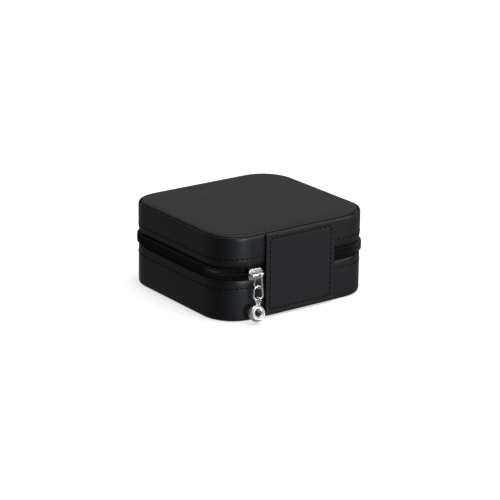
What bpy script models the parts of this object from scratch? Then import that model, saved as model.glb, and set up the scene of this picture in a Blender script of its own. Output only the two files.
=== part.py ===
"""Small square jewellery travel case: a soft-cornered leather box with a zip round its middle, a sewn
leather hinge patch at the back, and a nickel zip slider with a ring, a link and a round charm.

Metres, +Z up. The origin is at the middle of the case's underside, the hinge side faces +Y and the
front faces -Y. The case is modelled closed, with the slider parked beside the hinge patch.
"""

import math

import bmesh
import bpy
from mathutils import Matrix, Vector

MM = 0.001

# ---- overall sizes ----
CASE_WIDTH = 100.0 * MM
CASE_DEPTH = 95.0 * MM
CASE_HEIGHT = 47.3 * MM
CORNER_RADIUS = 19.0 * MM

# ---- what the walls are made of, from outside to inside ----
GAP = 0.3 * MM
LEATHER = 1.0 * MM
BOARD = 2.0 * MM
LINING = 0.8 * MM
TAPE = 0.5 * MM
TOP_COVER = 1.4 * MM
TOP_FOAM = 1.5 * MM
TOP_LIP = 0.9 * MM
SOLE = 1.0 * MM

# ---- zip ----
ZIP_HEIGHT = 26.35 * MM
ZIP_OPENING = 7.9 * MM
CHAIN_WIDTH = 6.0 * MM
CHAIN_THICKNESS = 2.1 * MM
CHAIN_PROUD = 0.8 * MM
TAPE_SEWN = 5.7 * MM
TAPE_TUCK = 4.0 * MM

# ---- hinge patch ----
PATCH_WIDTH = 45.4 * MM
PATCH_OFFSET = 1.2 * MM
PATCH_THICKNESS = 1.3 * MM
PATCH_LOW = 1.1 * MM
PATCH_TOP_MARGIN = 0.8 * MM
PATCH_CORNER = 0.8 * MM
HINGE_AXIS_OUT = 2.5 * MM

# ---- inside the base ----
DIVIDER = 2.0 * MM
DIVIDER_X = -2.0 * MM
DIVIDER_TOP_MARGIN = 2.0 * MM
TRAY_COUNT = 3
ROLL_COUNT = 7
ROLL_SLOT = 0.7 * MM
ROLL_HEIGHT = 13.6 * MM

# ---- inside the lid ----
POCKET_DEPTH = 42.0 * MM
POCKET_MARGIN = 4.0 * MM
ELASTIC_WIDTH = 4.0 * MM
ELASTIC_THICKNESS = 1.6 * MM
STRAP_COUNT = 3
STRAP_WIDTH = 7.0 * MM
STRAP_LENGTH = 17.0 * MM
STRAP_THICKNESS = 0.9 * MM
STRAP_SPACING = 20.0 * MM
STRAP_MARGIN = 4.0 * MM
SNAP_RADIUS = 2.6 * MM
SNAP_HEIGHT = 1.2 * MM

# ---- zip slider ----
SLIDER_STANDOFF = 7.4 * MM
SLIDER_LENGTH = 8.0 * MM
SLIDER_HEIGHT = 6.0 * MM
SLIDER_CORNER = 1.6 * MM
WING = 1.1 * MM
INNER_WING = 0.8 * MM
BEND_ALLOWANCE = 0.7 * MM
END_TAB_REACH = 1.5 * MM
POST_LENGTH = 5.0 * MM
POST_HEIGHT = 2.0 * MM
CROWN_SPAN = 7.4 * MM
CROWN_REACH = 2.3 * MM
CROWN_WIRE = 0.55 * MM
CROWN_BEND = 1.2 * MM

# ---- ring, link and charm ----
RING_WIRE = 0.4 * MM
RING_WIDTH = 4.0 * MM
RING_LENGTH = 8.35 * MM
RING_TURN = math.radians(61)
LINK_WIRE = 0.55 * MM
LINK_WIDTH = 4.9 * MM
LINK_LENGTH = 7.4 * MM
LINK_TURN = math.radians(11)
JUMP_WIRE = 0.4 * MM
JUMP_RADIUS = 1.65 * MM
JUMP_TURN = math.radians(70)
PLAY = 0.2 * MM
CHARM_RADIUS = 4.3 * MM
CHARM_HOLE = 2.0 * MM
CHARM_THICKNESS = 4.0 * MM
CHARM_EDGE = 0.45 * MM
CHARM_TILT = math.radians(28)
CHARM_LEAN = math.radians(17)
EYELET_RADIUS = 1.0 * MM
EYELET_WIRE = 0.4 * MM
EYELET_FORWARD = 1.4 * MM

# ---- smoothness ----
CORNER_STEPS = 10
CIRCLE_STEPS = 28
EDGE_STEPS = 2
WELD = 0.001 * MM
OVERSHOOT = 5.0 * MM

# ---- places worked out from the sizes ----
BASE_EDGE = ZIP_HEIGHT - ZIP_OPENING / 2
LID_EDGE = ZIP_HEIGHT + ZIP_OPENING / 2
BAND_LOW = GAP
BACK = CASE_DEPTH / 2

CORE_INSET = LEATHER + GAP
REBATE_INSET = CORE_INSET + TAPE + GAP
LINING_INSET = CORE_INSET + BOARD + GAP
ROOM_INSET = LINING_INSET + LINING

CORE_FLOOR = SOLE + GAP
LINING_FLOOR = CORE_FLOOR + BOARD + GAP
ROOM_FLOOR = LINING_FLOOR + LINING
CORE_TOP = BASE_EDGE - GAP

COVER_LOW = CASE_HEIGHT - TOP_COVER
FOAM_LOW = COVER_LOW - GAP - TOP_FOAM
LID_BOARD_HIGH = FOAM_LOW - GAP
LID_BOARD_LOW = LID_BOARD_HIGH - BOARD
LID_LINING_HIGH = LID_BOARD_LOW - GAP
LID_CEILING = LID_LINING_HIGH - LINING
LID_CORE_LOW = LID_EDGE + GAP

TAPE_MEET = GAP / 2
CHAIN_INNER = CORE_INSET - GAP
CHAIN_OUTER = -CHAIN_PROUD
PATCH_LEFT = PATCH_OFFSET - PATCH_WIDTH / 2
PATCH_RIGHT = PATCH_OFFSET + PATCH_WIDTH / 2
PATCH_INNER = BACK + GAP

SLIDER_X = PATCH_RIGHT + SLIDER_STANDOFF
BACK_WING_HIGH = BACK - REBATE_INSET - BEND_ALLOWANCE
BACK_WING_LOW = BACK_WING_HIGH - INNER_WING
WING_INNER = BACK - CHAIN_OUTER + GAP
WING_OUTER = WING_INNER + WING
CROWN_Y = WING_OUTER + CROWN_REACH
SLIDER_END = SLIDER_X + SLIDER_LENGTH / 2

RING_TOP = ZIP_HEIGHT + CROWN_WIRE + RING_WIRE + PLAY
RING_BOTTOM = RING_TOP - RING_LENGTH
LINK_TOP = RING_BOTTOM + RING_WIRE + LINK_WIRE + PLAY
LINK_BOTTOM = LINK_TOP - LINK_LENGTH
JUMP_TOP = LINK_BOTTOM + LINK_WIRE + JUMP_WIRE + PLAY
JUMP_BOTTOM = JUMP_TOP - 2 * JUMP_RADIUS
EYELET_Z = JUMP_BOTTOM + JUMP_WIRE + EYELET_WIRE + PLAY - EYELET_RADIUS

HINGE_AXIS = Vector((0.0, BACK + HINGE_AXIS_OUT, ZIP_HEIGHT))
CORNER_AXIS = Vector((CASE_WIDTH / 2 - CORNER_RADIUS, BACK - CORNER_RADIUS, ZIP_HEIGHT))
RING_AXIS = Vector((SLIDER_X, CROWN_Y, ZIP_HEIGHT))
LINK_AXIS = Vector((SLIDER_X, CROWN_Y, RING_BOTTOM))
CHARM_AXIS = Vector((SLIDER_X, CROWN_Y, LINK_BOTTOM))

TURNS = {
    "XY": (0.0, 0.0, 0.0),
    "XZ": (math.radians(90), 0.0, 0.0),
    "YZ": (math.radians(90), 0.0, math.radians(90)),
}
NORMALS = {"XY": Vector((0, 0, 1)), "XZ": Vector((0, 1, 0)), "YZ": Vector((1, 0, 0))}


# ---- scene and materials ----
def clear_scene():
    """Remove every object and make the two collections."""
    for item in list(bpy.data.objects):
        bpy.data.objects.remove(item)
    made = []
    for name in ("jewellery_case", "cutters"):
        collection = bpy.data.collections.new(name)
        bpy.context.scene.collection.children.link(collection)
        made.append(collection)
    return made


def material(name, colour, roughness, metallic=0.0):
    """A plain Principled material."""
    made = bpy.data.materials.new(name)
    made.use_nodes = True
    shader = made.node_tree.nodes["Principled BSDF"]
    shader.inputs["Base Color"].default_value = (*colour, 1.0)
    shader.inputs["Roughness"].default_value = roughness
    shader.inputs["Metallic"].default_value = metallic
    made.diffuse_color = (*colour, 1.0)
    return made


def black_leather(name):
    return material(name + "_leather", (0.022, 0.022, 0.024), 0.42)


def grey_board(name):
    return material(name + "_board", (0.30, 0.27, 0.22), 0.9)


def velvet(name):
    return material(name + "_velvet", (0.05, 0.05, 0.055), 0.95)


def black_textile(name):
    return material(name + "_textile", (0.012, 0.012, 0.013), 0.85)


def white_foam(name):
    return material(name + "_foam", (0.75, 0.74, 0.70), 0.95)


def nickel(name):
    return material(name + "_nickel", (0.62, 0.60, 0.57), 0.22, 1.0)


# ---- outlines ----
def rounded_rectangle(low_x, high_x, low_y, high_y, radius, steps=CORNER_STEPS):
    """Points round a rectangle with round corners, counter-clockwise."""
    corners = (
        (high_x - radius, high_y - radius),
        (low_x + radius, high_y - radius),
        (low_x + radius, low_y + radius),
        (high_x - radius, low_y + radius),
    )
    points = []
    for quarter, (x, y) in enumerate(corners):
        for step in range(steps + 1):
            angle = math.radians(90) * (quarter + step / steps)
            points.append((x + radius * math.cos(angle), y + radius * math.sin(angle)))
    return points


def case_outline(inset):
    """The case's plan outline, moved inwards by inset."""
    half_width = CASE_WIDTH / 2 - inset
    half_depth = BACK - inset
    return rounded_rectangle(-half_width, half_width, -half_depth, half_depth, CORNER_RADIUS - inset)


def circle(radius, centre=(0.0, 0.0)):
    """Points round a circle."""
    turn = 2 * math.pi / CIRCLE_STEPS
    return [
        (centre[0] + radius * math.cos(turn * n), centre[1] + radius * math.sin(turn * n))
        for n in range(CIRCLE_STEPS)
    ]


def stadium(width, top, bottom, steps=8):
    """Points round a long loop with half-round ends, from its top end's side."""
    radius = width / 2
    points = []
    for centre, start in ((top - radius, 0.0), (bottom + radius, math.pi)):
        for step in range(steps + 1):
            angle = start + math.pi * step / steps
            points.append((radius * math.cos(angle), centre + radius * math.sin(angle)))
    return points


def roll_outline(width, height):
    """A ring roll's end: flat below, straight sides and a half-round top."""
    radius = width / 2
    steps = 10
    arc = [math.pi * step / steps for step in range(steps + 1)]
    top = [(radius * math.cos(a), height - radius + radius * math.sin(a)) for a in arc]
    return [(-radius, 0.0), (radius, 0.0)] + top


# ---- making solids ----
def as_mesh(drawn, collection):
    """The mesh object that a drawn curve makes, with its caps welded."""
    bpy.context.scene.collection.objects.link(drawn)
    graph = bpy.context.evaluated_depsgraph_get()
    mesh = bpy.data.meshes.new_from_object(drawn.evaluated_get(graph))
    shape = bmesh.new()
    shape.from_mesh(mesh)
    bmesh.ops.remove_doubles(shape, verts=shape.verts, dist=WELD)
    shape.to_mesh(mesh)
    shape.free()
    name = drawn.name
    place = drawn.matrix_world.copy()
    bpy.data.objects.remove(drawn)
    solid = bpy.data.objects.new(name, mesh)
    solid.matrix_world = place
    collection.objects.link(solid)
    return solid


def plate(name, outlines, low, high, plane="XY", collection=None):
    """A flat solid between two heights: its first outline is its edge, further ones are holes."""
    flat = bpy.data.curves.new(name, "CURVE")
    flat.dimensions = "2D"
    flat.fill_mode = "BOTH"
    flat.extrude = (high - low) / 2
    for outline in outlines:
        spline = flat.splines.new("POLY")
        spline.points.add(len(outline) - 1)
        for point, (x, y) in zip(spline.points, outline):
            point.co = (x, y, 0.0, 1.0)
        spline.use_cyclic_u = True
    drawn = bpy.data.objects.new(name, flat)
    drawn.rotation_euler = TURNS[plane]
    drawn.location = NORMALS[plane] * (low + high) / 2
    return as_mesh(drawn, collection or PARTS)


def wire(name, points, thickness, closed, collection=None):
    """A wire of round section through the points."""
    path = bpy.data.curves.new(name, "CURVE")
    path.dimensions = "3D"
    path.bevel_depth = thickness
    path.bevel_resolution = 2
    path.use_fill_caps = True
    spline = path.splines.new("POLY")
    spline.points.add(len(points) - 1)
    for point, place in zip(spline.points, points):
        point.co = (*place, 1.0)
    spline.use_cyclic_u = closed
    return as_mesh(bpy.data.objects.new(name, path), collection or PARTS)


def combine(target, tool, operation="DIFFERENCE"):
    """Cut, join or intersect the target with the tool, which becomes a hidden guide."""
    tool.hide_render = True
    tool.display_type = "WIRE"
    change = target.modifiers.new(tool.name, "BOOLEAN")
    change.operation = operation
    change.solver = "EXACT"
    change.object = tool


def soften(target, width, steps=EDGE_STEPS):
    """Round the target's sharp edges."""
    edge = target.modifiers.new("soft_edges", "BEVEL")
    edge.width = width
    edge.segments = steps
    edge.limit_method = "ANGLE"
    edge.angle_limit = math.radians(40)


def box(name, low, high):
    """A box in the cutters' collection, between two corners."""
    bpy.ops.mesh.primitive_cube_add(size=1.0)
    made = bpy.context.object
    made.name = name
    for owner in list(made.users_collection):
        owner.objects.unlink(made)
    CUTTERS.objects.link(made)
    size = Vector(high) - Vector(low)
    centre = (Vector(high) + Vector(low)) / 2
    made.data.transform(Matrix.Translation(centre) @ Matrix.Diagonal((*size, 1.0)))
    return made


def ring_plate(name, outer, inner, low, high):
    """A band that follows the case's outline, between two insets and two heights."""
    return plate(name, [case_outline(outer), case_outline(inner)], low, high)


def axis_empty(name, place, parent=None):
    """An empty on a joint's axis, which its moving pieces hang from."""
    made = bpy.data.objects.new(name, None)
    made.empty_display_size = 5 * MM
    made.location = place
    PARTS.objects.link(made)
    if parent:
        attach(made, parent)
    return made


def attach(child, parent):
    """Parent the child to an empty without moving it."""
    place = parent.location.copy()
    above = parent.parent
    child.parent = parent
    if above:
        bpy.context.view_layer.update()
        place = parent.matrix_world.translation.copy()
    child.matrix_parent_inverse = Matrix.Translation(place).inverted()


def dress(target, finish, smooth=40):
    """Give the target its material and smooth its round faces."""
    target.data.materials.clear()
    target.data.materials.append(finish)
    target.data.shade_smooth()
    target.data.set_sharp_from_angle(angle=math.radians(smooth))
    return target


# ---- base ----
def make_base_cover():
    """The sole and the leather band round the base."""
    sole = plate("base_bottom_cover", [case_outline(CORE_INSET)], 0.0, SOLE)
    band = ring_plate("base_side_band", 0.0, LEATHER, BAND_LOW, BASE_EDGE)
    dress(sole, black_leather("base_bottom_cover"))
    dress(band, black_leather("base_side_band"))


def make_base_core():
    """The board tray under the leather, stepped in at the top where the zip tape is sewn."""
    core = plate("base_core", [case_outline(CORE_INSET)], CORE_FLOOR, CORE_TOP)
    room = plate(
        "base_core_room",
        [case_outline(CORE_INSET + BOARD)],
        CORE_FLOOR + BOARD,
        CORE_TOP + OVERSHOOT,
        collection=CUTTERS,
    )
    step = plate(
        "base_core_step",
        [case_outline(-OVERSHOOT), case_outline(REBATE_INSET)],
        BASE_EDGE - TAPE_SEWN - GAP,
        CORE_TOP + OVERSHOOT,
        collection=CUTTERS,
    )
    combine(core, room)
    combine(core, step)
    dress(core, grey_board("base_core"))


def make_base_lining():
    """The velvet tray inside the board."""
    lining = plate("base_lining", [case_outline(LINING_INSET)], LINING_FLOOR, BASE_EDGE)
    room = plate(
        "base_lining_room",
        [case_outline(ROOM_INSET)],
        ROOM_FLOOR,
        BASE_EDGE + OVERSHOOT,
        collection=CUTTERS,
    )
    combine(lining, room)
    dress(lining, velvet("base_lining"))


def make_centre_divider():
    """The fixed wall between the ring rolls and the open trays."""
    low = ROOM_FLOOR + GAP
    reach = BACK - ROOM_INSET - GAP
    outline = rounded_rectangle(
        DIVIDER_X - DIVIDER / 2, DIVIDER_X + DIVIDER / 2, -reach, reach, DIVIDER / 4, 3
    )
    wall = plate("centre_divider", [outline], low, BASE_EDGE - DIVIDER_TOP_MARGIN)
    dress(wall, velvet("centre_divider"))


def make_ring_rolls():
    """Padded rolls side by side, which grip rings in the slots between them."""
    room = BACK - ROOM_INSET - GAP
    pitch = 2 * room / ROLL_COUNT
    start = -(CASE_WIDTH / 2 - ROOM_INSET - GAP)
    end = DIVIDER_X - DIVIDER / 2 - GAP
    bed = plate(
        "ring_bed",
        [case_outline(ROOM_INSET + GAP)],
        0.0,
        CASE_HEIGHT,
        collection=CUTTERS,
    )
    for number in range(ROLL_COUNT):
        centre = -room + pitch * (number + 0.5)
        outline = [
            (centre + x, ROOM_FLOOR + GAP + z) for x, z in roll_outline(pitch - ROLL_SLOT, ROLL_HEIGHT)
        ]
        roll = plate(f"ring_roll_{number + 1}", [outline], start, end, "YZ")
        combine(roll, bed, "INTERSECT")
        dress(roll, velvet(roll.name))


def make_tray_dividers():
    """The loose walls across the open side, which lift out."""
    low = ROOM_FLOOR + GAP
    start = DIVIDER_X + DIVIDER / 2 + GAP
    end = CASE_WIDTH / 2 - ROOM_INSET - GAP
    pitch = (CASE_DEPTH - 2 * ROOM_INSET) / TRAY_COUNT
    for number in range(1, TRAY_COUNT):
        y = -(BACK - ROOM_INSET) + pitch * number
        outline = rounded_rectangle(start, end, y - DIVIDER / 2, y + DIVIDER / 2, DIVIDER / 4, 3)
        wall = plate(f"tray_divider_{number}", [outline], low, BASE_EDGE - DIVIDER_TOP_MARGIN)
        lift = axis_empty(f"tray_divider_{number}_lift", Vector((start, y, low)))
        attach(wall, lift)
        dress(wall, velvet(wall.name))


# ---- zip ----
def make_zip(lid_axis):
    """The two tapes and the two halves of the chain, open behind the hinge patch."""
    tape_low = BASE_EDGE - TAPE_SEWN
    tape_high = LID_EDGE + TAPE_SEWN
    tuck_left = PATCH_LEFT + TAPE_TUCK
    tuck_right = PATCH_RIGHT - TAPE_TUCK
    far = CASE_HEIGHT + OVERSHOOT

    def gap_in(name, start, end):
        return box(name, (start, 0.0, 0.0), (end, CASE_DEPTH, far))

    tape_gap = gap_in("base_tape_gap", tuck_left, tuck_right)
    lid_tape_gap = gap_in("lid_tape_gap", tuck_left, SLIDER_END + GAP)
    chain_gap = gap_in("base_chain_gap", PATCH_LEFT - GAP, PATCH_RIGHT + GAP)
    lid_chain_gap = gap_in("lid_chain_gap", PATCH_LEFT - GAP, SLIDER_END + GAP)

    halves = (
        ("base", tape_low, ZIP_HEIGHT - TAPE_MEET, tape_gap, chain_gap),
        ("lid", ZIP_HEIGHT + TAPE_MEET, tape_high, lid_tape_gap, lid_chain_gap),
    )
    for half, low, high, tape_cut, chain_cut in halves:
        tape = ring_plate(f"zip_tape_{half}", CORE_INSET, CORE_INSET + TAPE, low, high)
        combine(tape, tape_cut)
        dress(tape, black_textile(tape.name))
        if half == "base":
            chain_low, chain_high = ZIP_HEIGHT - CHAIN_WIDTH / 2, high
        else:
            chain_low, chain_high = low, ZIP_HEIGHT + CHAIN_WIDTH / 2
        chain = ring_plate(f"zip_chain_{half}", CHAIN_OUTER, CHAIN_INNER, chain_low, chain_high)
        combine(chain, chain_cut)
        soften(chain, 0.5 * MM)
        dress(chain, black_textile(chain.name))
        if half == "lid":
            attach(tape, lid_axis)
            attach(chain, lid_axis)


def make_zip_end_tab():
    """The cloth tab inside the zip's closed end, behind the parked slider."""
    face = BACK_WING_LOW - GAP
    left, right = PATCH_RIGHT - TAPE_TUCK / 2, SLIDER_X + END_TAB_REACH
    outline = rounded_rectangle(left, right, BASE_EDGE + GAP, LID_EDGE - GAP, 0.6 * MM, 3)
    tab = plate("zip_end_tab", [outline], face - TAPE, face, "XZ")
    dress(tab, black_textile("zip_end_tab"))


# ---- hinge ----
def make_hinge():
    """The leather patch sewn over both halves at the back, and the lining strip inside it."""
    outline = rounded_rectangle(
        PATCH_LEFT, PATCH_RIGHT, PATCH_LOW, CASE_HEIGHT - PATCH_TOP_MARGIN, PATCH_CORNER, 4
    )
    patch = plate("hinge_patch", [outline], PATCH_INNER, PATCH_INNER + PATCH_THICKNESS, "XZ")
    soften(patch, 0.3 * MM)
    dress(patch, black_leather("hinge_patch"))

    inside = BACK - ROOM_INSET
    straight = CASE_WIDTH / 2 - CORNER_RADIUS
    strip_end = PATCH_RIGHT - TAPE_TUCK / 2 - GAP
    outline = rounded_rectangle(-straight, strip_end, BASE_EDGE + GAP, LID_EDGE - GAP, 0.6 * MM, 3)
    strip = plate("hinge_lining", [outline], inside, inside + LINING, "XZ")
    dress(strip, velvet("hinge_lining"))


# ---- lid ----
def make_lid_cover(lid_axis):
    """The padded top panel, the foam under it and the leather band round the lid."""
    cover = plate("lid_top_cover", [case_outline(CORE_INSET)], COVER_LOW, CASE_HEIGHT)
    soften(cover, TOP_COVER / 2 - 0.1 * MM, 3)
    foam = plate("lid_top_foam", [case_outline(CORE_INSET + LEATHER)], FOAM_LOW, COVER_LOW - GAP)
    band = ring_plate("lid_side_band", 0.0, LEATHER, LID_EDGE, CASE_HEIGHT - TOP_LIP)
    dress(cover, black_leather("lid_top_cover"))
    dress(foam, white_foam("lid_top_foam"))
    dress(band, black_leather("lid_side_band"))
    for piece in (cover, foam, band):
        attach(piece, lid_axis)


def make_lid_core(lid_axis):
    """The lid's board shell, stepped in at the bottom where the zip tape is sewn."""
    core = plate("lid_core", [case_outline(CORE_INSET)], LID_CORE_LOW, LID_BOARD_HIGH)
    room = plate(
        "lid_core_room",
        [case_outline(CORE_INSET + BOARD)],
        LID_CORE_LOW - OVERSHOOT,
        LID_BOARD_LOW,
        collection=CUTTERS,
    )
    step = plate(
        "lid_core_step",
        [case_outline(-OVERSHOOT), case_outline(REBATE_INSET)],
        LID_CORE_LOW - OVERSHOOT,
        LID_EDGE + TAPE_SEWN + GAP,
        collection=CUTTERS,
    )
    combine(core, room)
    combine(core, step)
    dress(core, grey_board("lid_core"))
    attach(core, lid_axis)


def make_lid_lining(lid_axis):
    """The velvet shell inside the lid."""
    lining = plate("lid_lining", [case_outline(LINING_INSET)], LID_EDGE, LID_LINING_HIGH)
    room = plate(
        "lid_lining_room",
        [case_outline(ROOM_INSET)],
        LID_EDGE - OVERSHOOT,
        LID_CEILING,
        collection=CUTTERS,
    )
    combine(lining, room)
    dress(lining, velvet("lid_lining"))
    attach(lining, lid_axis)


def make_lid_pocket(lid_axis):
    """The flat pocket on the lid's lining, open towards the front, with an elastic mouth."""
    top = LID_CEILING - GAP
    side = CASE_WIDTH / 2 - ROOM_INSET - POCKET_MARGIN
    back = BACK - ROOM_INSET - POCKET_MARGIN
    mouth = back - POCKET_DEPTH
    corner = CORNER_RADIUS - ROOM_INSET - POCKET_MARGIN
    pocket = plate(
        "lid_pocket", [rounded_rectangle(-side, side, mouth, back, corner)], top - LINING, top
    )
    elastic = plate(
        "pocket_elastic",
        [rounded_rectangle(-side, side, mouth - GAP - ELASTIC_WIDTH, mouth - GAP, ELASTIC_WIDTH / 4, 3)],
        top - ELASTIC_THICKNESS,
        top,
    )
    dress(pocket, velvet("lid_pocket"))
    dress(elastic, black_textile("pocket_elastic"))
    attach(pocket, lid_axis)
    attach(elastic, lid_axis)


def make_necklace_straps(lid_axis):
    """Short straps along the lid's front, each closed by a snap."""
    top = LID_CEILING - GAP
    front = -(BACK - ROOM_INSET - STRAP_MARGIN)
    for number in range(STRAP_COUNT):
        x = STRAP_SPACING * (number - (STRAP_COUNT - 1) / 2)
        outline = rounded_rectangle(
            x - STRAP_WIDTH / 2, x + STRAP_WIDTH / 2, front, front + STRAP_LENGTH, STRAP_WIDTH / 4, 4
        )
        strap = plate(f"necklace_strap_{number + 1}", [outline], top - STRAP_THICKNESS, top)
        snap_top = top - STRAP_THICKNESS - GAP
        place = (x, front + STRAP_LENGTH - STRAP_WIDTH / 2)
        snap = plate(
            f"strap_snap_{number + 1}", [circle(SNAP_RADIUS, place)], snap_top - SNAP_HEIGHT, snap_top
        )
        soften(snap, 0.3 * MM)
        dress(strap, black_leather(strap.name))
        dress(snap, nickel(snap.name))
        attach(strap, lid_axis)
        attach(snap, lid_axis)


# ---- slider, ring, link and charm ----
def crown_path():
    """The slider's bow, from one foot to the other, along the zip."""
    foot = WING_OUTER - WING / 2
    half = CROWN_SPAN / 2
    points = [(SLIDER_X + half, foot, ZIP_HEIGHT)]
    for side in (0, 1):
        sign = 1 - 2 * side
        centre = (SLIDER_X + sign * (half - CROWN_BEND), CROWN_Y - CROWN_BEND)
        for step in range(5):
            angle = math.radians(90) * (side + step / 4)
            x = centre[0] + CROWN_BEND * math.cos(angle)
            y = centre[1] + CROWN_BEND * math.sin(angle)
            points.append((x, y, ZIP_HEIGHT))
    points.append((SLIDER_X - half, foot, ZIP_HEIGHT))
    return points


def make_slider(corner_axis):
    """The slider: a wing outside the chain, one inside, the post between them and the bow."""
    low = ZIP_HEIGHT - SLIDER_HEIGHT / 2
    high = ZIP_HEIGHT + SLIDER_HEIGHT / 2
    half = SLIDER_LENGTH / 2
    outline = rounded_rectangle(SLIDER_X - half, SLIDER_X + half, low, high, SLIDER_CORNER, 4)
    slider = plate("slider_body", [outline], WING_INNER, WING_OUTER, "XZ")

    outline = rounded_rectangle(
        SLIDER_X - half + GAP, SLIDER_X + half - GAP, low + GAP, high - GAP, SLIDER_CORNER, 4
    )
    wing = plate("slider_inner_wing", [outline], BACK_WING_LOW, BACK_WING_HIGH, "XZ", CUTTERS)

    post_low = ZIP_HEIGHT + TAPE_MEET + GAP
    outline = rounded_rectangle(
        SLIDER_X - POST_LENGTH / 2, SLIDER_X + POST_LENGTH / 2, post_low, post_low + POST_HEIGHT, 0.5 * MM, 3
    )
    embed = INNER_WING / 2
    post = plate("slider_post", [outline], BACK_WING_HIGH - embed, WING_INNER + embed, "XZ", CUTTERS)
    crown = wire("slider_crown", crown_path(), CROWN_WIRE, False, CUTTERS)
    for piece in (post, wing, crown):
        combine(slider, piece, "UNION")
    dress(slider, nickel("slider_body"))
    attach(slider, corner_axis)


def turned_loop(outline, turn):
    """A flat loop's points, in a plane that stands up at the slider and is turned about the vertical."""
    across = Vector((math.cos(turn), -math.sin(turn), 0.0))
    centre = Vector((SLIDER_X, CROWN_Y, 0.0))
    return [tuple(centre + across * x + Vector((0.0, 0.0, z))) for x, z in outline]


def make_ring(ring_axis):
    """The long wire ring that hangs on the slider's bow."""
    points = turned_loop(stadium(RING_WIDTH, RING_TOP, RING_BOTTOM), RING_TURN)
    ring = wire("pull_ring", points, RING_WIRE, True)
    dress(ring, nickel("pull_ring"))
    attach(ring, ring_axis)


def make_link(link_axis):
    """The heavier link below the ring."""
    points = turned_loop(stadium(LINK_WIDTH, LINK_TOP, LINK_BOTTOM), LINK_TURN)
    link = wire("pull_link", points, LINK_WIRE, True)
    dress(link, nickel("pull_link"))
    attach(link, link_axis)


def make_charm(charm_axis):
    """The small ring that carries the charm, and the thick round charm with its eyelet."""
    loop = [(x, z + JUMP_TOP - JUMP_RADIUS) for x, z in circle(JUMP_RADIUS)]
    jump = wire("charm_ring", turned_loop(loop, JUMP_TURN), JUMP_WIRE, True)
    dress(jump, nickel("charm_ring"))

    drop = CHARM_RADIUS + EYELET_RADIUS - EYELET_WIRE / 2
    half = CHARM_THICKNESS / 2
    charm = plate("charm", [circle(CHARM_RADIUS), circle(CHARM_HOLE)], -half, half, "XZ")
    eyelet_points = [(x, EYELET_FORWARD, z + drop) for x, z in circle(EYELET_RADIUS)]
    eyelet = wire("charm_eyelet", eyelet_points, EYELET_WIRE, True, CUTTERS)
    hang = Vector((SLIDER_X, CROWN_Y, EYELET_Z))
    place = (
        Matrix.Translation(hang)
        @ Matrix.Rotation(CHARM_TILT, 4, "X")
        @ Matrix.Rotation(-CHARM_LEAN, 4, "Y")
        @ Matrix.Translation((0.0, -EYELET_FORWARD, -drop))
    )
    for piece in (charm, eyelet):
        piece.data.transform(piece.matrix_world)
        piece.matrix_world = Matrix.Identity(4)
        piece.data.transform(place)
    soften(charm, CHARM_EDGE)
    combine(charm, eyelet, "UNION")
    dress(charm, nickel("charm"))
    attach(jump, charm_axis)
    attach(charm, charm_axis)


def build():
    """Make the whole case, closed."""
    make_base_cover()
    make_base_core()
    make_base_lining()
    make_centre_divider()
    make_ring_rolls()
    make_tray_dividers()
    lid_axis = axis_empty("lid_hinge_axis", HINGE_AXIS)
    make_zip(lid_axis)
    make_zip_end_tab()
    make_hinge()
    make_lid_cover(lid_axis)
    make_lid_core(lid_axis)
    make_lid_lining(lid_axis)
    make_lid_pocket(lid_axis)
    make_necklace_straps(lid_axis)
    corner_axis = axis_empty("slider_travel_axis", CORNER_AXIS)
    ring_axis = axis_empty("pull_ring_axis", RING_AXIS, corner_axis)
    link_axis = axis_empty("pull_link_axis", LINK_AXIS, ring_axis)
    charm_axis = axis_empty("charm_axis", CHARM_AXIS, link_axis)
    make_slider(corner_axis)
    make_ring(ring_axis)
    make_link(link_axis)
    make_charm(charm_axis)


PARTS, CUTTERS = clear_scene()
build()
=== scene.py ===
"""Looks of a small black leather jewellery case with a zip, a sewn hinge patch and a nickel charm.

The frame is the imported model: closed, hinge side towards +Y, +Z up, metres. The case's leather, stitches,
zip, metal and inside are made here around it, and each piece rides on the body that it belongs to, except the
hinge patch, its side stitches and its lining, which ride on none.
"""

import logging
import math
from dataclasses import dataclass
from enum import Enum
from typing import Callable, Iterable, Mapping, Sequence, Union

import bpy
from mathutils import Matrix, Vector


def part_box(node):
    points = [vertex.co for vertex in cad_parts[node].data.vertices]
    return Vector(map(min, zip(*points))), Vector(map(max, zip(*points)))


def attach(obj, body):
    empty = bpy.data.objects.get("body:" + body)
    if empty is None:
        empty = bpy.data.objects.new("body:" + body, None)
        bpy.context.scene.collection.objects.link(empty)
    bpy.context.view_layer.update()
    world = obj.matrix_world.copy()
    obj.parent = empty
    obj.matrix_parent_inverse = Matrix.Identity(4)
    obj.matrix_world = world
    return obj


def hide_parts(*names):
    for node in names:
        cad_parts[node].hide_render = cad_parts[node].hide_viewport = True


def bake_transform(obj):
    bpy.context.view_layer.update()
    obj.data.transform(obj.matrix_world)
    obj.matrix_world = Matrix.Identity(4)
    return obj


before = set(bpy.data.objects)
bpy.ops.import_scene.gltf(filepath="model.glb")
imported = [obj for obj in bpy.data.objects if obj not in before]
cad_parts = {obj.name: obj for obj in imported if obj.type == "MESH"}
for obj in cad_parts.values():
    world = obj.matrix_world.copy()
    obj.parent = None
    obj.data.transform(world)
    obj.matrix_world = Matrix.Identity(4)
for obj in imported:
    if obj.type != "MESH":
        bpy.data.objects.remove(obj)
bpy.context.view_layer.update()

LOG = logging.getLogger("jewellery_case")
MM = 0.001

Point = tuple[float, float]
Place = tuple[float, float, float]
Colour = tuple[float, float, float]
X, Y, Z = range(3)
THIN_SIDES = 5


# ---------------------------------------------------------------- shader graphs


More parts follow.
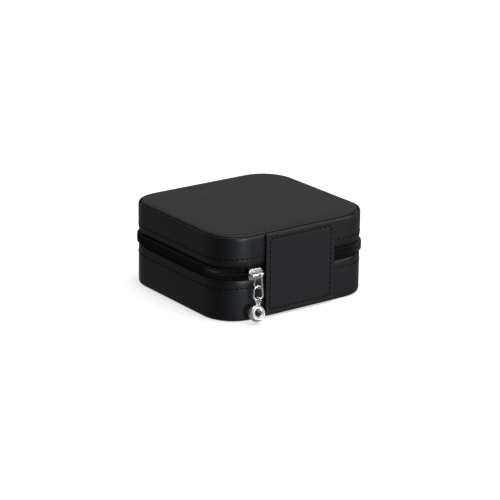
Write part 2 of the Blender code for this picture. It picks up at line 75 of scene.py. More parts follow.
class Sock:
    """A shader socket on which arithmetic builds Math nodes."""

    def __init__(self, graph: "Graph", value: object) -> None:
        """Wrap a socket.

        Args:
            graph: The graph that the socket is in.
            value: The output socket.
        """
        self.graph = graph
        self.value = value

    def _math(self, operation: str, *others: object, swap: bool = False) -> "Sock":
        """Add a Math node.

        Args:
            operation: The Math node's operation.
            others: Its further inputs, sockets or numbers.
            swap: True where this socket is the second input.

        Returns:
            The node's output.
        """
        values = [self, *others]
        if swap:
            values.reverse()
        return self.graph.node("ShaderNodeMath", {"operation": operation}, dict(enumerate(values)))

    def __add__(self, other: object) -> "Sock":
        """Sum."""
        return self._math("ADD", other)

    __radd__ = __add__

    def __sub__(self, other: object) -> "Sock":
        """Difference."""
        return self._math("SUBTRACT", other)

    def __rsub__(self, other: object) -> "Sock":
        """Difference from a number."""
        return self._math("SUBTRACT", other, swap=True)

    def __mul__(self, other: object) -> "Sock":
        """Product."""
        return self._math("MULTIPLY", other)

    __rmul__ = __mul__

    def __truediv__(self, other: object) -> "Sock":
        """Quotient."""
        return self._math("DIVIDE", other)

    def __rtruediv__(self, other: object) -> "Sock":
        """Quotient of a number."""
        return self._math("DIVIDE", other, swap=True)

    def sine(self) -> "Sock":
        """Sine of an angle in radians."""
        return self._math("SINE")

    def absolute(self) -> "Sock":
        """Distance from zero."""
        return self._math("ABSOLUTE")

    def at_most(self, other: object) -> "Sock":
        """The smaller of two values."""
        return self._math("MINIMUM", other)


class Graph:
    """The node tree of one material, with its Principled shader."""

    def __init__(self, name: str) -> None:
        """Start a material.

        Args:
            name: The material's name.
        """
        self.material = bpy.data.materials.new(name)
        self.material.use_nodes = True
        self.tree = self.material.node_tree
        self.shader = self.tree.nodes["Principled BSDF"]

    def node(
        self,
        kind: str,
        settings: Mapping[str, object] = {},
        inputs: Mapping[Union[int, str], object] = {},
        output: Union[int, str] = 0,
    ) -> Sock:
        """Add a node.

        Args:
            kind: The node's type.
            settings: Its properties, set first.
            inputs: Values or links of its sockets, by name or number.
            output: The output that is wanted.

        Returns:
            That output, wrapped.
        """
        made = self.tree.nodes.new(kind)
        for key, value in settings.items():
            setattr(made, key, value)
        for key, value in inputs.items():
            self._feed(made.inputs[key], value)
        return Sock(self, made.outputs[output])

    def _feed(self, socket: object, value: object) -> None:
        """Link or set one input.

        Args:
            socket: The input.
            value: A wrapped socket or a plain value.
        """
        if isinstance(value, Sock):
            self.tree.links.new(value.value, socket)
        else:
            socket.default_value = value

    def place(self, scale: Sequence[float] = (1.0, 1.0, 1.0)) -> Sock:
        """Object coordinates, stretched by scale.

        Args:
            scale: Factors along X, Y and Z.

        Returns:
            The coordinates.
        """
        place = self.node("ShaderNodeTexCoord", output="Object")
        return self.node("ShaderNodeMapping", {}, {"Vector": place, "Scale": scale})

    def noise(self, size: float, detail: float = 3.0, stretch: Sequence[float] = (1.0, 1.0, 1.0)) -> Sock:
        """Noise whose features are about size metres.

        Args:
            size: The features' size.
            detail: The number of finer octaves.
            stretch: Factors along X, Y and Z.

        Returns:
            The noise from 0 to 1.
        """
        inputs = {"Vector": self.place(stretch), "Scale": 1.0 / size, "Detail": detail}
        return self.node("ShaderNodeTexNoise", {}, inputs)

    def cells(self, size: float, feature: str = "F1") -> Sock:
        """Voronoi cells about size metres across.

        Args:
            size: The cells' size.
            feature: The Voronoi feature.

        Returns:
            The distance that the feature stands for.
        """
        inputs = {"Vector": self.place(), "Scale": 1.0 / size}
        return self.node("ShaderNodeTexVoronoi", {"feature": feature}, inputs, "Distance")

    def axis(self, name: str) -> Sock:
        """One object coordinate, in metres.

        Args:
            name: X, Y or Z.

        Returns:
            The coordinate.
        """
        return self.node("ShaderNodeSeparateXYZ", {}, {0: self.place()}, name)

    def mix(self, factor: object, first: Colour, second: Colour) -> Sock:
        """Mix two colours.

        Args:
            factor: The share of the second.
            first: The first colour, red, green and blue.
            second: The second colour.

        Returns:
            The mixed colour.
        """
        inputs = {0: factor, 6: (*first, 1.0), 7: (*second, 1.0)}
        return self.node("ShaderNodeMix", {"data_type": "RGBA"}, inputs, 2)

    def bump(self, height: Sock, depth: float, under: Union[Sock, None] = None) -> Sock:
        """A bump from a height.

        Args:
            height: The height from 0 to 1.
            depth: What 1 stands for, in metres.
            under: A bump below this one.

        Returns:
            The normal.
        """
        inputs = {"Height": height, "Distance": depth}
        if under is not None:
            inputs["Normal"] = under
        return self.node("ShaderNodeBump", {}, inputs)

    def finish(self, links: Mapping[str, object], values: Mapping[str, object]) -> bpy.types.Material:
        """Wire up the Principled shader.

        Args:
            links: What changes over the surface, by socket name.
            values: What is the same all over, by socket name.

        Returns:
            The material.
        """
        for key, value in {**links, **values}.items():
            self._feed(self.shader.inputs[key], value)
        return self.material


# ---------------------------------------------------------------- finishes


@dataclass(frozen=True)
class Leather:
    """Smooth coated leather: fine grain, soft pressed creases and a little uneven gloss."""

    name: str
    colour: Colour = (0.0050, 0.0050, 0.0056)
    worn: Colour = (0.0078, 0.0078, 0.0085)
    roughness: float = 0.40
    uneven: float = 0.10
    grain: float = 0.45 * MM
    grain_depth: float = 0.012 * MM
    swell: float = 0.06 * MM
    specular: float = 0.32

    def material(self) -> bpy.types.Material:
        """Make the material.

        Returns:
            The material.
        """
        g = Graph(self.name)
        patches = g.noise(14 * MM, 3.0)
        fine = g.noise(1.6 * MM, 4.0)
        pores = g.cells(self.grain)
        creases = g.cells(2.3 * self.grain, "DISTANCE_TO_EDGE")
        colour = g.mix(patches * 0.6 + fine * 0.4, self.colour, self.worn)
        roughness = (patches - 0.5) * self.uneven + (fine - 0.5) * (self.uneven * 0.6) + self.roughness
        swell = g.bump(patches, self.swell)
        grain = g.bump(pores * 0.7 + creases.at_most(0.25) * 1.6, self.grain_depth, swell)
        links = {"Base Color": colour, "Roughness": roughness, "Normal": grain}
        return g.finish(links, {"Specular IOR Level": self.specular})


@dataclass(frozen=True)
class Thread:
    """Twisted polyester sewing thread."""

    name: str
    colour: Colour = (0.0010, 0.0010, 0.0010)
    light: Colour = (0.0030, 0.0030, 0.0032)
    twist: float = 0.35 * MM

    def material(self) -> bpy.types.Material:
        """Make the material.

        Returns:
            The material.
        """
        g = Graph(self.name)
        slope = (g.axis("X") + g.axis("Y") + g.axis("Z")) / self.twist
        ply = (slope * (2 * math.pi)).sine() * 0.5 + 0.5
        fuzz = g.noise(0.3 * MM, 2.0)
        colour = g.mix(ply * 0.6 + fuzz * 0.4, self.colour, self.light)
        links = {
            "Base Color": colour,
            "Roughness": fuzz * 0.15 + 0.75,
            "Normal": g.bump(ply, 0.05 * MM),
        }
        return g.finish(links, {"Specular IOR Level": 0.04})


@dataclass(frozen=True)
class Nickel:
    """Polished nickel plate over a die-cast shape, with faint scratches and a few dull spots."""

    name: str
    bright: Colour = (0.86, 0.84, 0.80)
    dull: Colour = (0.66, 0.64, 0.61)
    roughness: float = 0.18
    metallic: float = 0.90

    def material(self) -> bpy.types.Material:
        """Make the material.

        Returns:
            The material.
        """
        g = Graph(self.name)
        cast = g.noise(1.5 * MM, 3.0)
        scratches = g.noise(0.25 * MM, 2.0, (1.0, 1.0, 0.12))
        colour = g.mix(cast * 0.7, self.bright, self.dull)
        roughness = cast * 0.14 + scratches * 0.10 + (self.roughness - 0.08)
        cast_bump = g.bump(cast, 0.03 * MM)
        links = {
            "Base Color": colour,
            "Roughness": roughness,
            "Normal": g.bump(scratches, 0.004 * MM, cast_bump),
        }
        return g.finish(links, {"Metallic": self.metallic})


@dataclass(frozen=True)
class WovenTape:
    """Herringbone woven zip tape."""

    name: str
    colour: Colour = (0.0022, 0.0022, 0.0024)
    light: Colour = (0.0070, 0.0070, 0.0075)
    rib: float = 0.55 * MM

    def material(self) -> bpy.types.Material:
        """Make the material.

        Returns:
            The material.
        """
        g = Graph(self.name)
        around = g.axis("X") - g.axis("Y")
        warp = (g.axis("Z") * (2 * math.pi / self.rib)).sine() * 0.5 + 0.5
        weft = ((around + g.axis("Z").absolute() * 0.8) * (2 * math.pi / (self.rib * 0.8))).sine() * 0.5 + 0.5
        weave = warp * 0.55 + weft * 0.45
        fuzz = g.noise(0.4 * MM, 3.0)
        links = {
            "Base Color": g.mix(weave * 0.7 + fuzz * 0.3, self.colour, self.light),
            "Roughness": fuzz * 0.15 + 0.78,
            "Normal": g.bump(weave, 0.10 * MM),
        }
        return g.finish(links, {"Specular IOR Level": 0.15, "Sheen Weight": 0.02})


@dataclass(frozen=True)
class Nylon:
    """Extruded black nylon of the zip's coil."""

    name: str
    colour: Colour = (0.0030, 0.0030, 0.0033)
    light: Colour = (0.0080, 0.0080, 0.0085)

    def material(self) -> bpy.types.Material:
        """Make the material.

        Returns:
            The material.
        """
        g = Graph(self.name)
        cloud = g.noise(0.8 * MM, 3.0)
        links = {
            "Base Color": g.mix(cloud, self.colour, self.light),
            "Roughness": cloud * 0.16 + 0.38,
            "Normal": g.bump(cloud, 0.02 * MM),
        }
        return g.finish(links, {"Specular IOR Level": 0.30})


@dataclass(frozen=True)
class Velvet:
    """Short-pile velvet: soft sheen, brushed patches and a fine pile."""

    name: str
    colour: Colour = (0.018, 0.018, 0.020)
    brushed: Colour = (0.040, 0.040, 0.044)

    def material(self) -> bpy.types.Material:
        """Make the material.

        Returns:
            The material.
        """
        g = Graph(self.name)
        brushed = g.noise(9 * MM, 3.0)
        pile = g.noise(0.35 * MM, 3.0)
        links = {
            "Base Color": g.mix(brushed * 0.7 + pile * 0.3, self.colour, self.brushed),
            "Roughness": pile * 0.1 + 0.85,
            "Normal": g.bump(pile, 0.14 * MM),
        }
        return g.finish(links, {"Sheen Weight": 0.55, "Sheen Roughness": 0.45, "Specular IOR Level": 0.15})


@dataclass(frozen=True)
class Board:
    """Grey pressed board with fibres."""

    name: str
    colour: Colour = (0.16, 0.145, 0.12)
    fibres: Colour = (0.30, 0.27, 0.23)

    def material(self) -> bpy.types.Material:
        """Make the material.

        Returns:
            The material.
        """
        g = Graph(self.name)
        fibre = g.noise(0.8 * MM, 4.0, (1.0, 1.0, 4.0))
        links = {
            "Base Color": g.mix(fibre, self.colour, self.fibres),
            "Roughness": fibre * 0.1 + 0.85,
            "Normal": g.bump(fibre, 0.08 * MM),
        }
        return g.finish(links, {"Specular IOR Level": 0.2})


@dataclass(frozen=True)
class Foam:
    """Open-cell padding foam."""

    name: str
    colour: Colour = (0.50, 0.48, 0.43)
    walls: Colour = (0.72, 0.70, 0.64)

    def material(self) -> bpy.types.Material:
        """Make the material.

        Returns:
            The material.
        """
        g = Graph(self.name)
        cell = g.cells(0.7 * MM)
        links = {
            "Base Color": g.mix(cell, self.colour, self.walls),
            "Roughness": cell * 0.1 + 0.88,
            "Normal": g.bump(cell, 0.25 * MM),
        }
        return g.finish(links, {"Specular IOR Level": 0.2})


class Finishes:
    """Every finish of the case, made once."""

    def __init__(self) -> None:
        """Make the materials."""
        self.band = Leather("band_leather").material()
        self.top = Leather("top_leather", roughness=0.44, swell=0.10 * MM, specular=0.24).material()
        self.patch = Leather(
            "patch_leather",
            colour=(0.0062, 0.0062, 0.0066),
            worn=(0.0092, 0.0092, 0.0098),
            roughness=0.43,
            swell=0.05 * MM,
            specular=0.30,
        ).material()
        self.strap = Leather("strap_leather", grain=0.35 * MM).material()
        self.thread = Thread("sewing_thread").material()
        self.coil_thread = Thread("coil_thread", (0.006, 0.006, 0.006), (0.022, 0.022, 0.023)).material()
        self.nickel = Nickel("nickel_plate").material()
        self.charm_nickel = Nickel("charm_nickel", roughness=0.26, metallic=0.74).material()
        self.tape = WovenTape("zip_tape_weave").material()
        self.nylon = Nylon("zip_coil_nylon").material()
        self.velvet = Velvet("lining_velvet").material()
        self.insert = Velvet("insert_velvet", (0.020, 0.020, 0.022), (0.046, 0.046, 0.050)).material()
        self.board = Board("pressed_board").material()
        self.foam = Foam("padding_foam").material()


# ---------------------------------------------------------------- modelling


class Ends(Enum):
    """How a swept wall is closed."""

    JOINED = "its last row is bridged to its first"
    CAPPED = "its first and last rows are filled"


class Bench:
    """Modelling moves that the sub-assemblies share."""

    @staticmethod
    def clear_selection() -> None:
        """Leave edit mode and select nothing."""
        if bpy.context.object and bpy.context.object.mode != "OBJECT":
            bpy.ops.object.mode_set(mode="OBJECT")
        bpy.ops.object.select_all(action="DESELECT")

    @staticmethod
    def only(piece: bpy.types.Object) -> None:
        """Select one piece and make it active.

        Args:
            piece: The piece.
        """
        Bench.clear_selection()
        piece.select_set(True)
        bpy.context.view_layer.objects.active = piece

    @staticmethod
    def named(name: str) -> bpy.types.Object:
        """Name the active object and its mesh.

        Args:
            name: The name.

        Returns:
            The object.
        """
        piece = bpy.context.object
        piece.name = name
        piece.data.name = name
        return piece

    @staticmethod
    def reopen(piece: bpy.types.Object, kind: str) -> None:
        """Open a piece in edit mode with what its mesh holds as selected.

        Args:
            piece: The piece.
            kind: VERT, EDGE or FACE.
        """
        Bench.only(piece)
        bpy.ops.object.mode_set(mode="EDIT")
        bpy.ops.mesh.select_mode(type=kind)

    @staticmethod
    def edit(piece: bpy.types.Object, kind: str = "VERT") -> None:
        """Open a piece in edit mode with everything selected.

        Args:
            piece: The piece.
            kind: VERT, EDGE or FACE.
        """
        Bench.reopen(piece, kind)
        bpy.ops.mesh.select_all(action="SELECT")

    @staticmethod
    def done() -> None:
        """Go back to object mode."""
        bpy.ops.object.mode_set(mode="OBJECT")

    @staticmethod
    def deselect(piece: bpy.types.Object) -> None:
        """In object mode, deselect every vertex, edge and face of a piece."""
        for element in (*piece.data.vertices, *piece.data.edges, *piece.data.polygons):
            element.select = False

    @staticmethod
    def pick(piece: bpy.types.Object, test: Callable[[Vector], bool]) -> None:
        """In edit mode, select the vertices whose place passes a test, and what lies between them.

        Args:
            piece: The piece.
            test: Says whether a place is wanted.
        """
        bpy.ops.mesh.select_mode(type="VERT")
        bpy.ops.mesh.select_all(action="DESELECT")
        bpy.ops.object.mode_set(mode="OBJECT")
        for vertex in piece.data.vertices:
            vertex.select = test(vertex.co)
        bpy.ops.object.mode_set(mode="EDIT")

    @staticmethod
    def edit_edges(piece: bpy.types.Object, test: Callable[[Vector, Vector], bool]) -> None:
        """Open a piece in edit mode with only its edges that pass a test selected.

        Edge mode comes first, because another mode would spread the selection as it opens.

        Args:
            piece: The piece.
            test: Told each edge's two ends, says whether it is wanted.
        """
        Bench.edit(piece, "EDGE")
        Bench.done()
        Bench.deselect(piece)
        for edge in piece.data.edges:
            first, second = (piece.data.vertices[n].co for n in edge.vertices)
            edge.select = test(first, second)
        Bench.reopen(piece, "EDGE")

    @staticmethod
    def round_edges(
        piece: bpy.types.Object, test: Callable[[Vector, Vector], bool], radius: float, segments: int
    ) -> None:
        """Round the edges that pass a test.

        Args:
            piece: The piece.
            test: Told each edge's two ends, says whether it is wanted.
            radius: The rounding's radius.
            segments: Its segments.
        """
        Bench.edit_edges(piece, test)
        bpy.ops.mesh.bevel(offset=radius, segments=segments, profile=0.5, affect="EDGES")
        Bench.done()

    @staticmethod
    def move(
        piece: bpy.types.Object, test: Callable[[Vector], bool], shift: Sequence[float], reach: float = 0.0
    ) -> None:
        """Move the vertices whose place passes a test.

        Args:
            piece: The piece.
            test: Says whether a place is wanted.
            shift: The move.
            reach: How far the surface round them follows, less and less; none at 0.
        """
        follow = {
            "use_proportional_edit": True,
            "proportional_edit_falloff": "SMOOTH",
            "proportional_size": reach,
        }
        Bench.edit(piece)
        Bench.pick(piece, test)
        bpy.ops.transform.translate(value=shift, **(follow if reach else {}))
        Bench.done()

    @staticmethod
    def slice(piece: bpy.types.Object, axis: int, places: Iterable[float]) -> None:
        """Cut a piece's faces at places along an axis, and take nothing away.

        Args:
            piece: The piece.
            axis: X, Y or Z.
            places: The places.
        """
        normal = Vector((0.0, 0.0, 0.0))
        normal[axis] = 1.0
        for place in places:
            Bench.edit(piece)
            bpy.ops.mesh.bisect(plane_co=normal * place, plane_no=normal)
            Bench.done()

    @staticmethod
    def apply_modifiers(piece: bpy.types.Object) -> None:
        """Apply every modifier, top to bottom.

        Args:
            piece: The piece.
        """
        Bench.only(piece)
        for modifier in list(piece.modifiers):
            bpy.ops.object.modifier_apply(modifier=modifier.name)

    @staticmethod
    def apply_place(piece: bpy.types.Object) -> None:
        """Move a piece's place, turn and scale into its mesh.

        Args:
            piece: The piece.
        """
        Bench.only(piece)
        bpy.ops.object.transform_apply(location=True, rotation=True, scale=True)

    @staticmethod
    def face_outwards(piece: bpy.types.Object) -> None:
        """Merge doubles and turn a closed piece's faces outwards.

        Args:
            piece: The piece.
        """
        Bench.edit(piece)
        bpy.ops.mesh.remove_doubles(threshold=0.001 * MM)
        bpy.ops.mesh.select_all(action="SELECT")
        bpy.ops.mesh.normals_make_consistent(inside=False)
        Bench.done()

    @staticmethod
    def smooth(piece: bpy.types.Object, degrees: float = 40.0) -> None:
        """Shade a piece smooth, with sharp edges over an angle.

        Args:
            piece: The piece.
            degrees: The angle.
        """
        Bench.only(piece)
        bpy.ops.object.shade_smooth_by_angle(angle=math.radians(degrees))

    @staticmethod
    def bevel(piece: bpy.types.Object, width: float, segments: int = 3, degrees: float = 40.0) -> None:
        """Round a piece's sharp edges with an applied Bevel modifier.

        Args:
            piece: The piece.
            width: The bevel's width.
            segments: Its segments.
            degrees: Edges over this angle are rounded.
        """
        change = piece.modifiers.new("round", "BEVEL")
        change.width = width
        change.segments = segments
        change.limit_method = "ANGLE"
        change.angle_limit = math.radians(degrees)
        Bench.apply_modifiers(piece)

    @staticmethod
    def finer(piece: bpy.types.Object, kind: str = "CATMULL_CLARK", limit: bool = True) -> None:
        """Subdivide a piece once with an applied modifier.

        Args:
            piece: The piece.
            kind: CATMULL_CLARK rounds, and SIMPLE keeps the shape.
            limit: True puts the points on the surface that endless subdivision would give.
        """
        change = piece.modifiers.new("finer", "SUBSURF")
        change.levels = change.render_levels = 1
        change.subdivision_type = kind
        change.use_limit_surface = limit
        Bench.apply_modifiers(piece)

    @staticmethod
    def repeat(unit: bpy.types.Object, count: int, pitch: float) -> None:
        """Repeat a unit along +X with an Array modifier, which is left live.

        Args:
            unit: The unit.
            count: How many there are then.
            pitch: The distance between them.
        """
        row = unit.modifiers.new("row", "ARRAY")
        row.count = count
        row.use_relative_offset = False
        row.use_constant_offset = True
        row.constant_offset_displace = (pitch, 0.0, 0.0)

    @staticmethod
    def block(name: str, low: Vector, high: Vector) -> bpy.types.Object:
        """A box between two corners, with its place in its mesh.

        Args:
            name: Its name.
            low: Its lowest corner.
            high: Its highest corner.

        Returns:
            The box.
        """
        Bench.clear_selection()
        bpy.ops.mesh.primitive_cube_add(size=1.0, location=(low + high) / 2)
        piece = Bench.named(name)
        piece.scale = high - low
        Bench.apply_place(piece)
        return piece

    @staticmethod
    def cut(piece: bpy.types.Object, tool: bpy.types.Object) -> None:
        """Cut a tool's shape out of a piece, and remove the tool.

        Args:
            piece: The piece.
            tool: The tool.
        """
        change = piece.modifiers.new("cut", "BOOLEAN")
        change.operation = "DIFFERENCE"
        change.solver = "EXACT"
        change.object = tool
        Bench.apply_modifiers(piece)
        bpy.data.objects.remove(tool)

    @staticmethod
    def join(name: str, pieces: Sequence[bpy.types.Object]) -> bpy.types.Object:
        """Join several objects into one.

        Args:
            name: The result's name.
            pieces: The objects.

        Returns:
            The joined piece.
        """
        Bench.clear_selection()
        for piece in pieces:
            piece.select_set(True)
        bpy.context.view_layer.objects.active = pieces[0]
        bpy.ops.object.join()
        return Bench.named(name)

    @staticmethod
    def dress(piece: bpy.types.Object, finish: bpy.types.Material) -> None:
        """Give a piece its one material.

        Args:
            piece: The piece.
            finish: The material.
        """
        piece.data.materials.clear()
        piece.data.materials.append(finish)


@dataclass
class CasePlan:
    """The case's plan outline, which its walls, zip and seams all follow.

    Seams and zip stop under the hinge patch, at patch_start and patch_end along X.
    """

    half_width: float
    half_depth: float
    radius: float = 19.0 * MM
    patch_start: float = -21.8 * MM
    patch_end: float = 24.2 * MM
    corner_steps: int = 14
    side_steps: int = 12

    def outline_mesh(self, name: str, inset: float, height: float) -> bpy.types.Object:
        """A flat rounded rectangle whose sides are divided evenly.

        Args:
            name: Its name.
            inset: How far inside the outline it lies.
            height: Its height.

        Returns:
            The piece, one face.
        """
        Bench.clear_selection()
        bpy.ops.mesh.primitive_plane_add(size=2.0, location=(0.0, 0.0, height))
        piece = Bench.named(name)
        piece.scale = (self.half_width - inset, self.half_depth - inset, 1.0)
        Bench.apply_place(piece)
        Bench.edit(piece)
        bpy.ops.mesh.bevel(
            affect="VERTICES", offset=self.radius - inset, segments=self.corner_steps, profile=0.5
        )
        Bench.done()
        side_edge = math.pi * self.radius / self.corner_steps
        Bench.deselect(piece)
        for edge in piece.data.edges:
            first, second = (piece.data.vertices[n].co for n in edge.vertices)
            edge.select = (first - second).length > side_edge
        Bench.reopen(piece, "EDGE")
        bpy.ops.mesh.subdivide(number_cuts=self.side_steps - 1)
        Bench.done()
        return piece

    def sweep(
        self, name: str, profile: Sequence[Point], ends: Ends, finish: bpy.types.Material
    ) -> bpy.types.Object:
        """A wall that follows the outline, with a profile of (inset, height) points.

        The wall is extruded row by row from the outline, the rows are pushed out by a Displace
        modifier to their insets, and then moved to their heights.

        Args:
            name: The piece's name.
            profile: Its points, in metres.
            ends: How it is closed.
            finish: Its material.

        Returns:
            The piece.
        """
        step = 1.0 * MM
        deepest = max(inset for inset, _ in profile)
        piece = self.outline_mesh(name, deepest, 0.0)
        Bench.edit(piece, "EDGE")
        bpy.ops.mesh.delete(type="ONLY_FACE")
        bpy.ops.mesh.select_all(action="SELECT")
        for _ in profile[1:]:
            bpy.ops.mesh.extrude_edges_move(TRANSFORM_OT_translate={"value": (0.0, 0.0, step)})
        bpy.ops.mesh.select_all(action="SELECT")
        bpy.ops.mesh.normals_make_consistent(inside=False)
        Bench.done()
        if self._faces_in(piece):
            Bench.edit(piece)
            bpy.ops.mesh.flip_normals()
            Bench.done()
        rows = [[] for _ in profile]
        for vertex in piece.data.vertices:
            rows[round(vertex.co.z / step)].append(vertex.index)
        spread = deepest - min(inset for inset, _ in profile)
        if spread > 0:
            group = piece.vertex_groups.new(name="outwards")
            for row, (inset, _) in zip(rows, profile):
                group.add(row, (deepest - inset) / spread, "REPLACE")
            push = piece.modifiers.new("outwards", "DISPLACE")
            push.vertex_group = "outwards"
            push.strength = spread
            push.mid_level = 0.0
            Bench.apply_modifiers(piece)
            piece.vertex_groups.clear()
        self._raise_rows(piece, rows, [height - n * step for n, (_, height) in enumerate(profile)])
        self._close(piece, rows, ends)
        Bench.face_outwards(piece)
        Bench.smooth(piece, 60.0)
        Bench.dress(piece, finish)
        return piece

    @staticmethod
    def _faces_in(piece: bpy.types.Object) -> bool:
        """Whether an upright wall's faces look towards the middle."""
        return sum(p.normal.dot(Vector((p.center.x, p.center.y, 0.0))) for p in piece.data.polygons) < 0

    @staticmethod
    def _raise_rows(piece: bpy.types.Object, rows: Sequence[Sequence[int]], lifts: Sequence[float]) -> None:
        """Move each row up or down.

        Args:
            piece: The wall.
            rows: Each row's vertices.
            lifts: Each row's move.
        """
        for row, lift in zip(rows, lifts):
            Bench.deselect(piece)
            for index in row:
                piece.data.vertices[index].select = True
            Bench.reopen(piece, "VERT")
            bpy.ops.transform.translate(value=(0.0, 0.0, lift))
            Bench.done()

    @staticmethod
    def _close(piece: bpy.types.Object, rows: Sequence[Sequence[int]], ends: Ends) -> None:
        """Close the wall between or across its first and last rows.

        Args:
            piece: The wall.
            rows: Each row's vertices.
            ends: How it is closed.
        """
        groups = [set(rows[0]) | set(rows[-1])] if ends is Ends.JOINED else [set(rows[0]), set(rows[-1])]
        for chosen in groups:
            Bench.deselect(piece)
            for edge in piece.data.edges:
                edge.select = chosen.issuperset(edge.vertices)
            Bench.reopen(piece, "EDGE")
            if ends is Ends.JOINED:
                bpy.ops.mesh.bridge_edge_loops()
            else:
                bpy.ops.mesh.edge_face_add()
            Bench.done()

    def path(self, name: str, inset: float, height: float, start_x: float, end_x: float) -> bpy.types.Object:
        """A guide curve round the case, from the patch's -X side, by the front, to its +X side.

        Args:
            name: Its name.
            inset: How far inside the outline it runs.
            height: Its height.
            start_x: Where it starts on the hinge side.
            end_x: Where it ends on the hinge side, or on the corner before it.

        Returns:
            The curve object.
        """
        radius = self.radius - inset
        flat_x = self.half_width - self.radius
        flat_y = self.half_depth - self.radius
        points = [(start_x, self.half_depth - inset)]
        corners = ((-flat_x, flat_y, 90.0), (-flat_x, -flat_y, 180.0), (flat_x, -flat_y, 270.0))
        steps = 2 * self.corner_steps
        for x, y, start in corners:
            for step in range(steps + 1):
                angle = math.radians(start + 90.0 * step / steps)
                points.append((x + radius * math.cos(angle), y + radius * math.sin(angle)))
        last = 90.0
        if end_x > flat_x:
            last = math.degrees(math.acos((end_x - flat_x) / radius))
        for step in range(steps + 1):
            angle = math.radians(last * step / steps)
            points.append((flat_x + radius * math.cos(angle), flat_y + radius * math.sin(angle)))
        if end_x < flat_x:
            points.append((end_x, self.half_depth - inset))
        curve = bpy.data.curves.new(name, "CURVE")
        curve.dimensions = "3D"
        curve.twist_mode = "Z_UP"
        spline = curve.splines.new("POLY")
        spline.points.add(len(points) - 1)
        for point, (x, y) in zip(spline.points, points):
            point.co = (x, y, height, 1.0)
        guide = bpy.data.objects.new(name, curve)
        bpy.context.scene.collection.objects.link(guide)
        return guide

    @staticmethod
    def length(guide: bpy.types.Object) -> float:
        """A guide's length.

        Args:
            guide: The curve object.

        Returns:
            Its length in metres.
        """
        places = [Vector(point.co[:3]) for point in guide.data.splines[0].points]
        return sum((b - a).length for a, b in zip(places, places[1:]))

    def repeat_along(self, unit: bpy.types.Object, guide: bpy.types.Object, pitch: float) -> None:
        """Repeat a unit along a guide, with applied Array and Curve modifiers.

        Args:
            unit: The unit, made at the origin with +X along the guide and -Y outwards.
            guide: The curve object, which is removed.
            pitch: The distance between copies.
        """
        Bench.repeat(unit, int(self.length(guide) / pitch), pitch)
        bend = unit.modifiers.new("round_the_case", "CURVE")
        bend.object = guide
        bend.deform_axis = "POS_X"
        Bench.apply_modifiers(unit)
        bpy.data.objects.remove(guide)


@dataclass
class Stitching:
    """Rows of sewn thread: each stitch a short arched thread that dips into the leather."""

    plan: CasePlan
    finishes: Finishes
    length: float = 2.15 * MM
    pitch: float = 2.85 * MM
    thickness: float = 0.27 * MM
    sides: int = 8

    def stitch(self, name: str) -> bpy.types.Object:
        """One stitch along +X from the origin, arched towards -Y.

        Args:
            name: Its name.

        Returns:
            The stitch.
        """
        Bench.clear_selection()
        bpy.ops.mesh.primitive_cylinder_add(
            vertices=self.sides,
            radius=self.thickness,
            depth=self.length,
            end_fill_type="TRIFAN",
            rotation=(0.0, math.radians(90), 0.0),
            location=(self.length / 2, 0.0, 0.0),
        )
        piece = Bench.named(name)
        Bench.apply_place(piece)
        dips = ((0.0, 1.5), (0.12, 0.45), (0.3, 0.05), (0.5, 0.0), (0.7, 0.05), (0.88, 0.45), (1.0, 1.5))
        Bench.slice(piece, X, (self.length * share for share, _ in dips[1:-1]))
        for share, dip in dips:
            place = self.length * share
            Bench.move(
                piece,
                lambda co, place=place: abs(co.x - place) < 0.02 * MM,
                (0.0, dip * self.thickness, 0.0),
            )
        Bench.smooth(piece, 80.0)
        Bench.dress(piece, self.finishes.thread)
        return piece

    def round_case(
        self, name: str, inset: float, height: float, start_x: float, end_x: float
    ) -> bpy.types.Object:
        """A row of stitches round the case.

        Args:
            name: The row's name.
            inset: How deep the thread's middle lies.
            height: The row's height.
            start_x: Where it starts on the hinge side.
            end_x: Where it ends on the hinge side.

        Returns:
            The row.
        """
        row = self.stitch(name)
        guide = self.plan.path(name + "_guide", inset, height, start_x, end_x)
        self.plan.repeat_along(row, guide, self.pitch)
        return row

    def straight(self, name: str, start: Vector, end: Vector, outwards: Vector) -> bpy.types.Object:
        """A straight row of stitches.

        Args:
            name: The row's name.
            start: Where it starts.
            end: Where it ends.
            outwards: The side that shows.

        Returns:
            The row.
        """
        row = self.stitch(name)
        span = end - start
        count = max(1, round(span.length / self.pitch))
        pitch = span.length / count
        Bench.repeat(row, count, pitch)
        Bench.apply_modifiers(row)
        along = span.normalized()
        turn = Matrix((along, -outwards, along.cross(-outwards))).transposed().to_4x4()
        margin = along * (pitch - self.length) / 2
        row.matrix_world = Matrix.Translation(start + margin) @ turn
        Bench.apply_place(row)
        return row


# ---------------------------------------------------------------- sub-assemblies


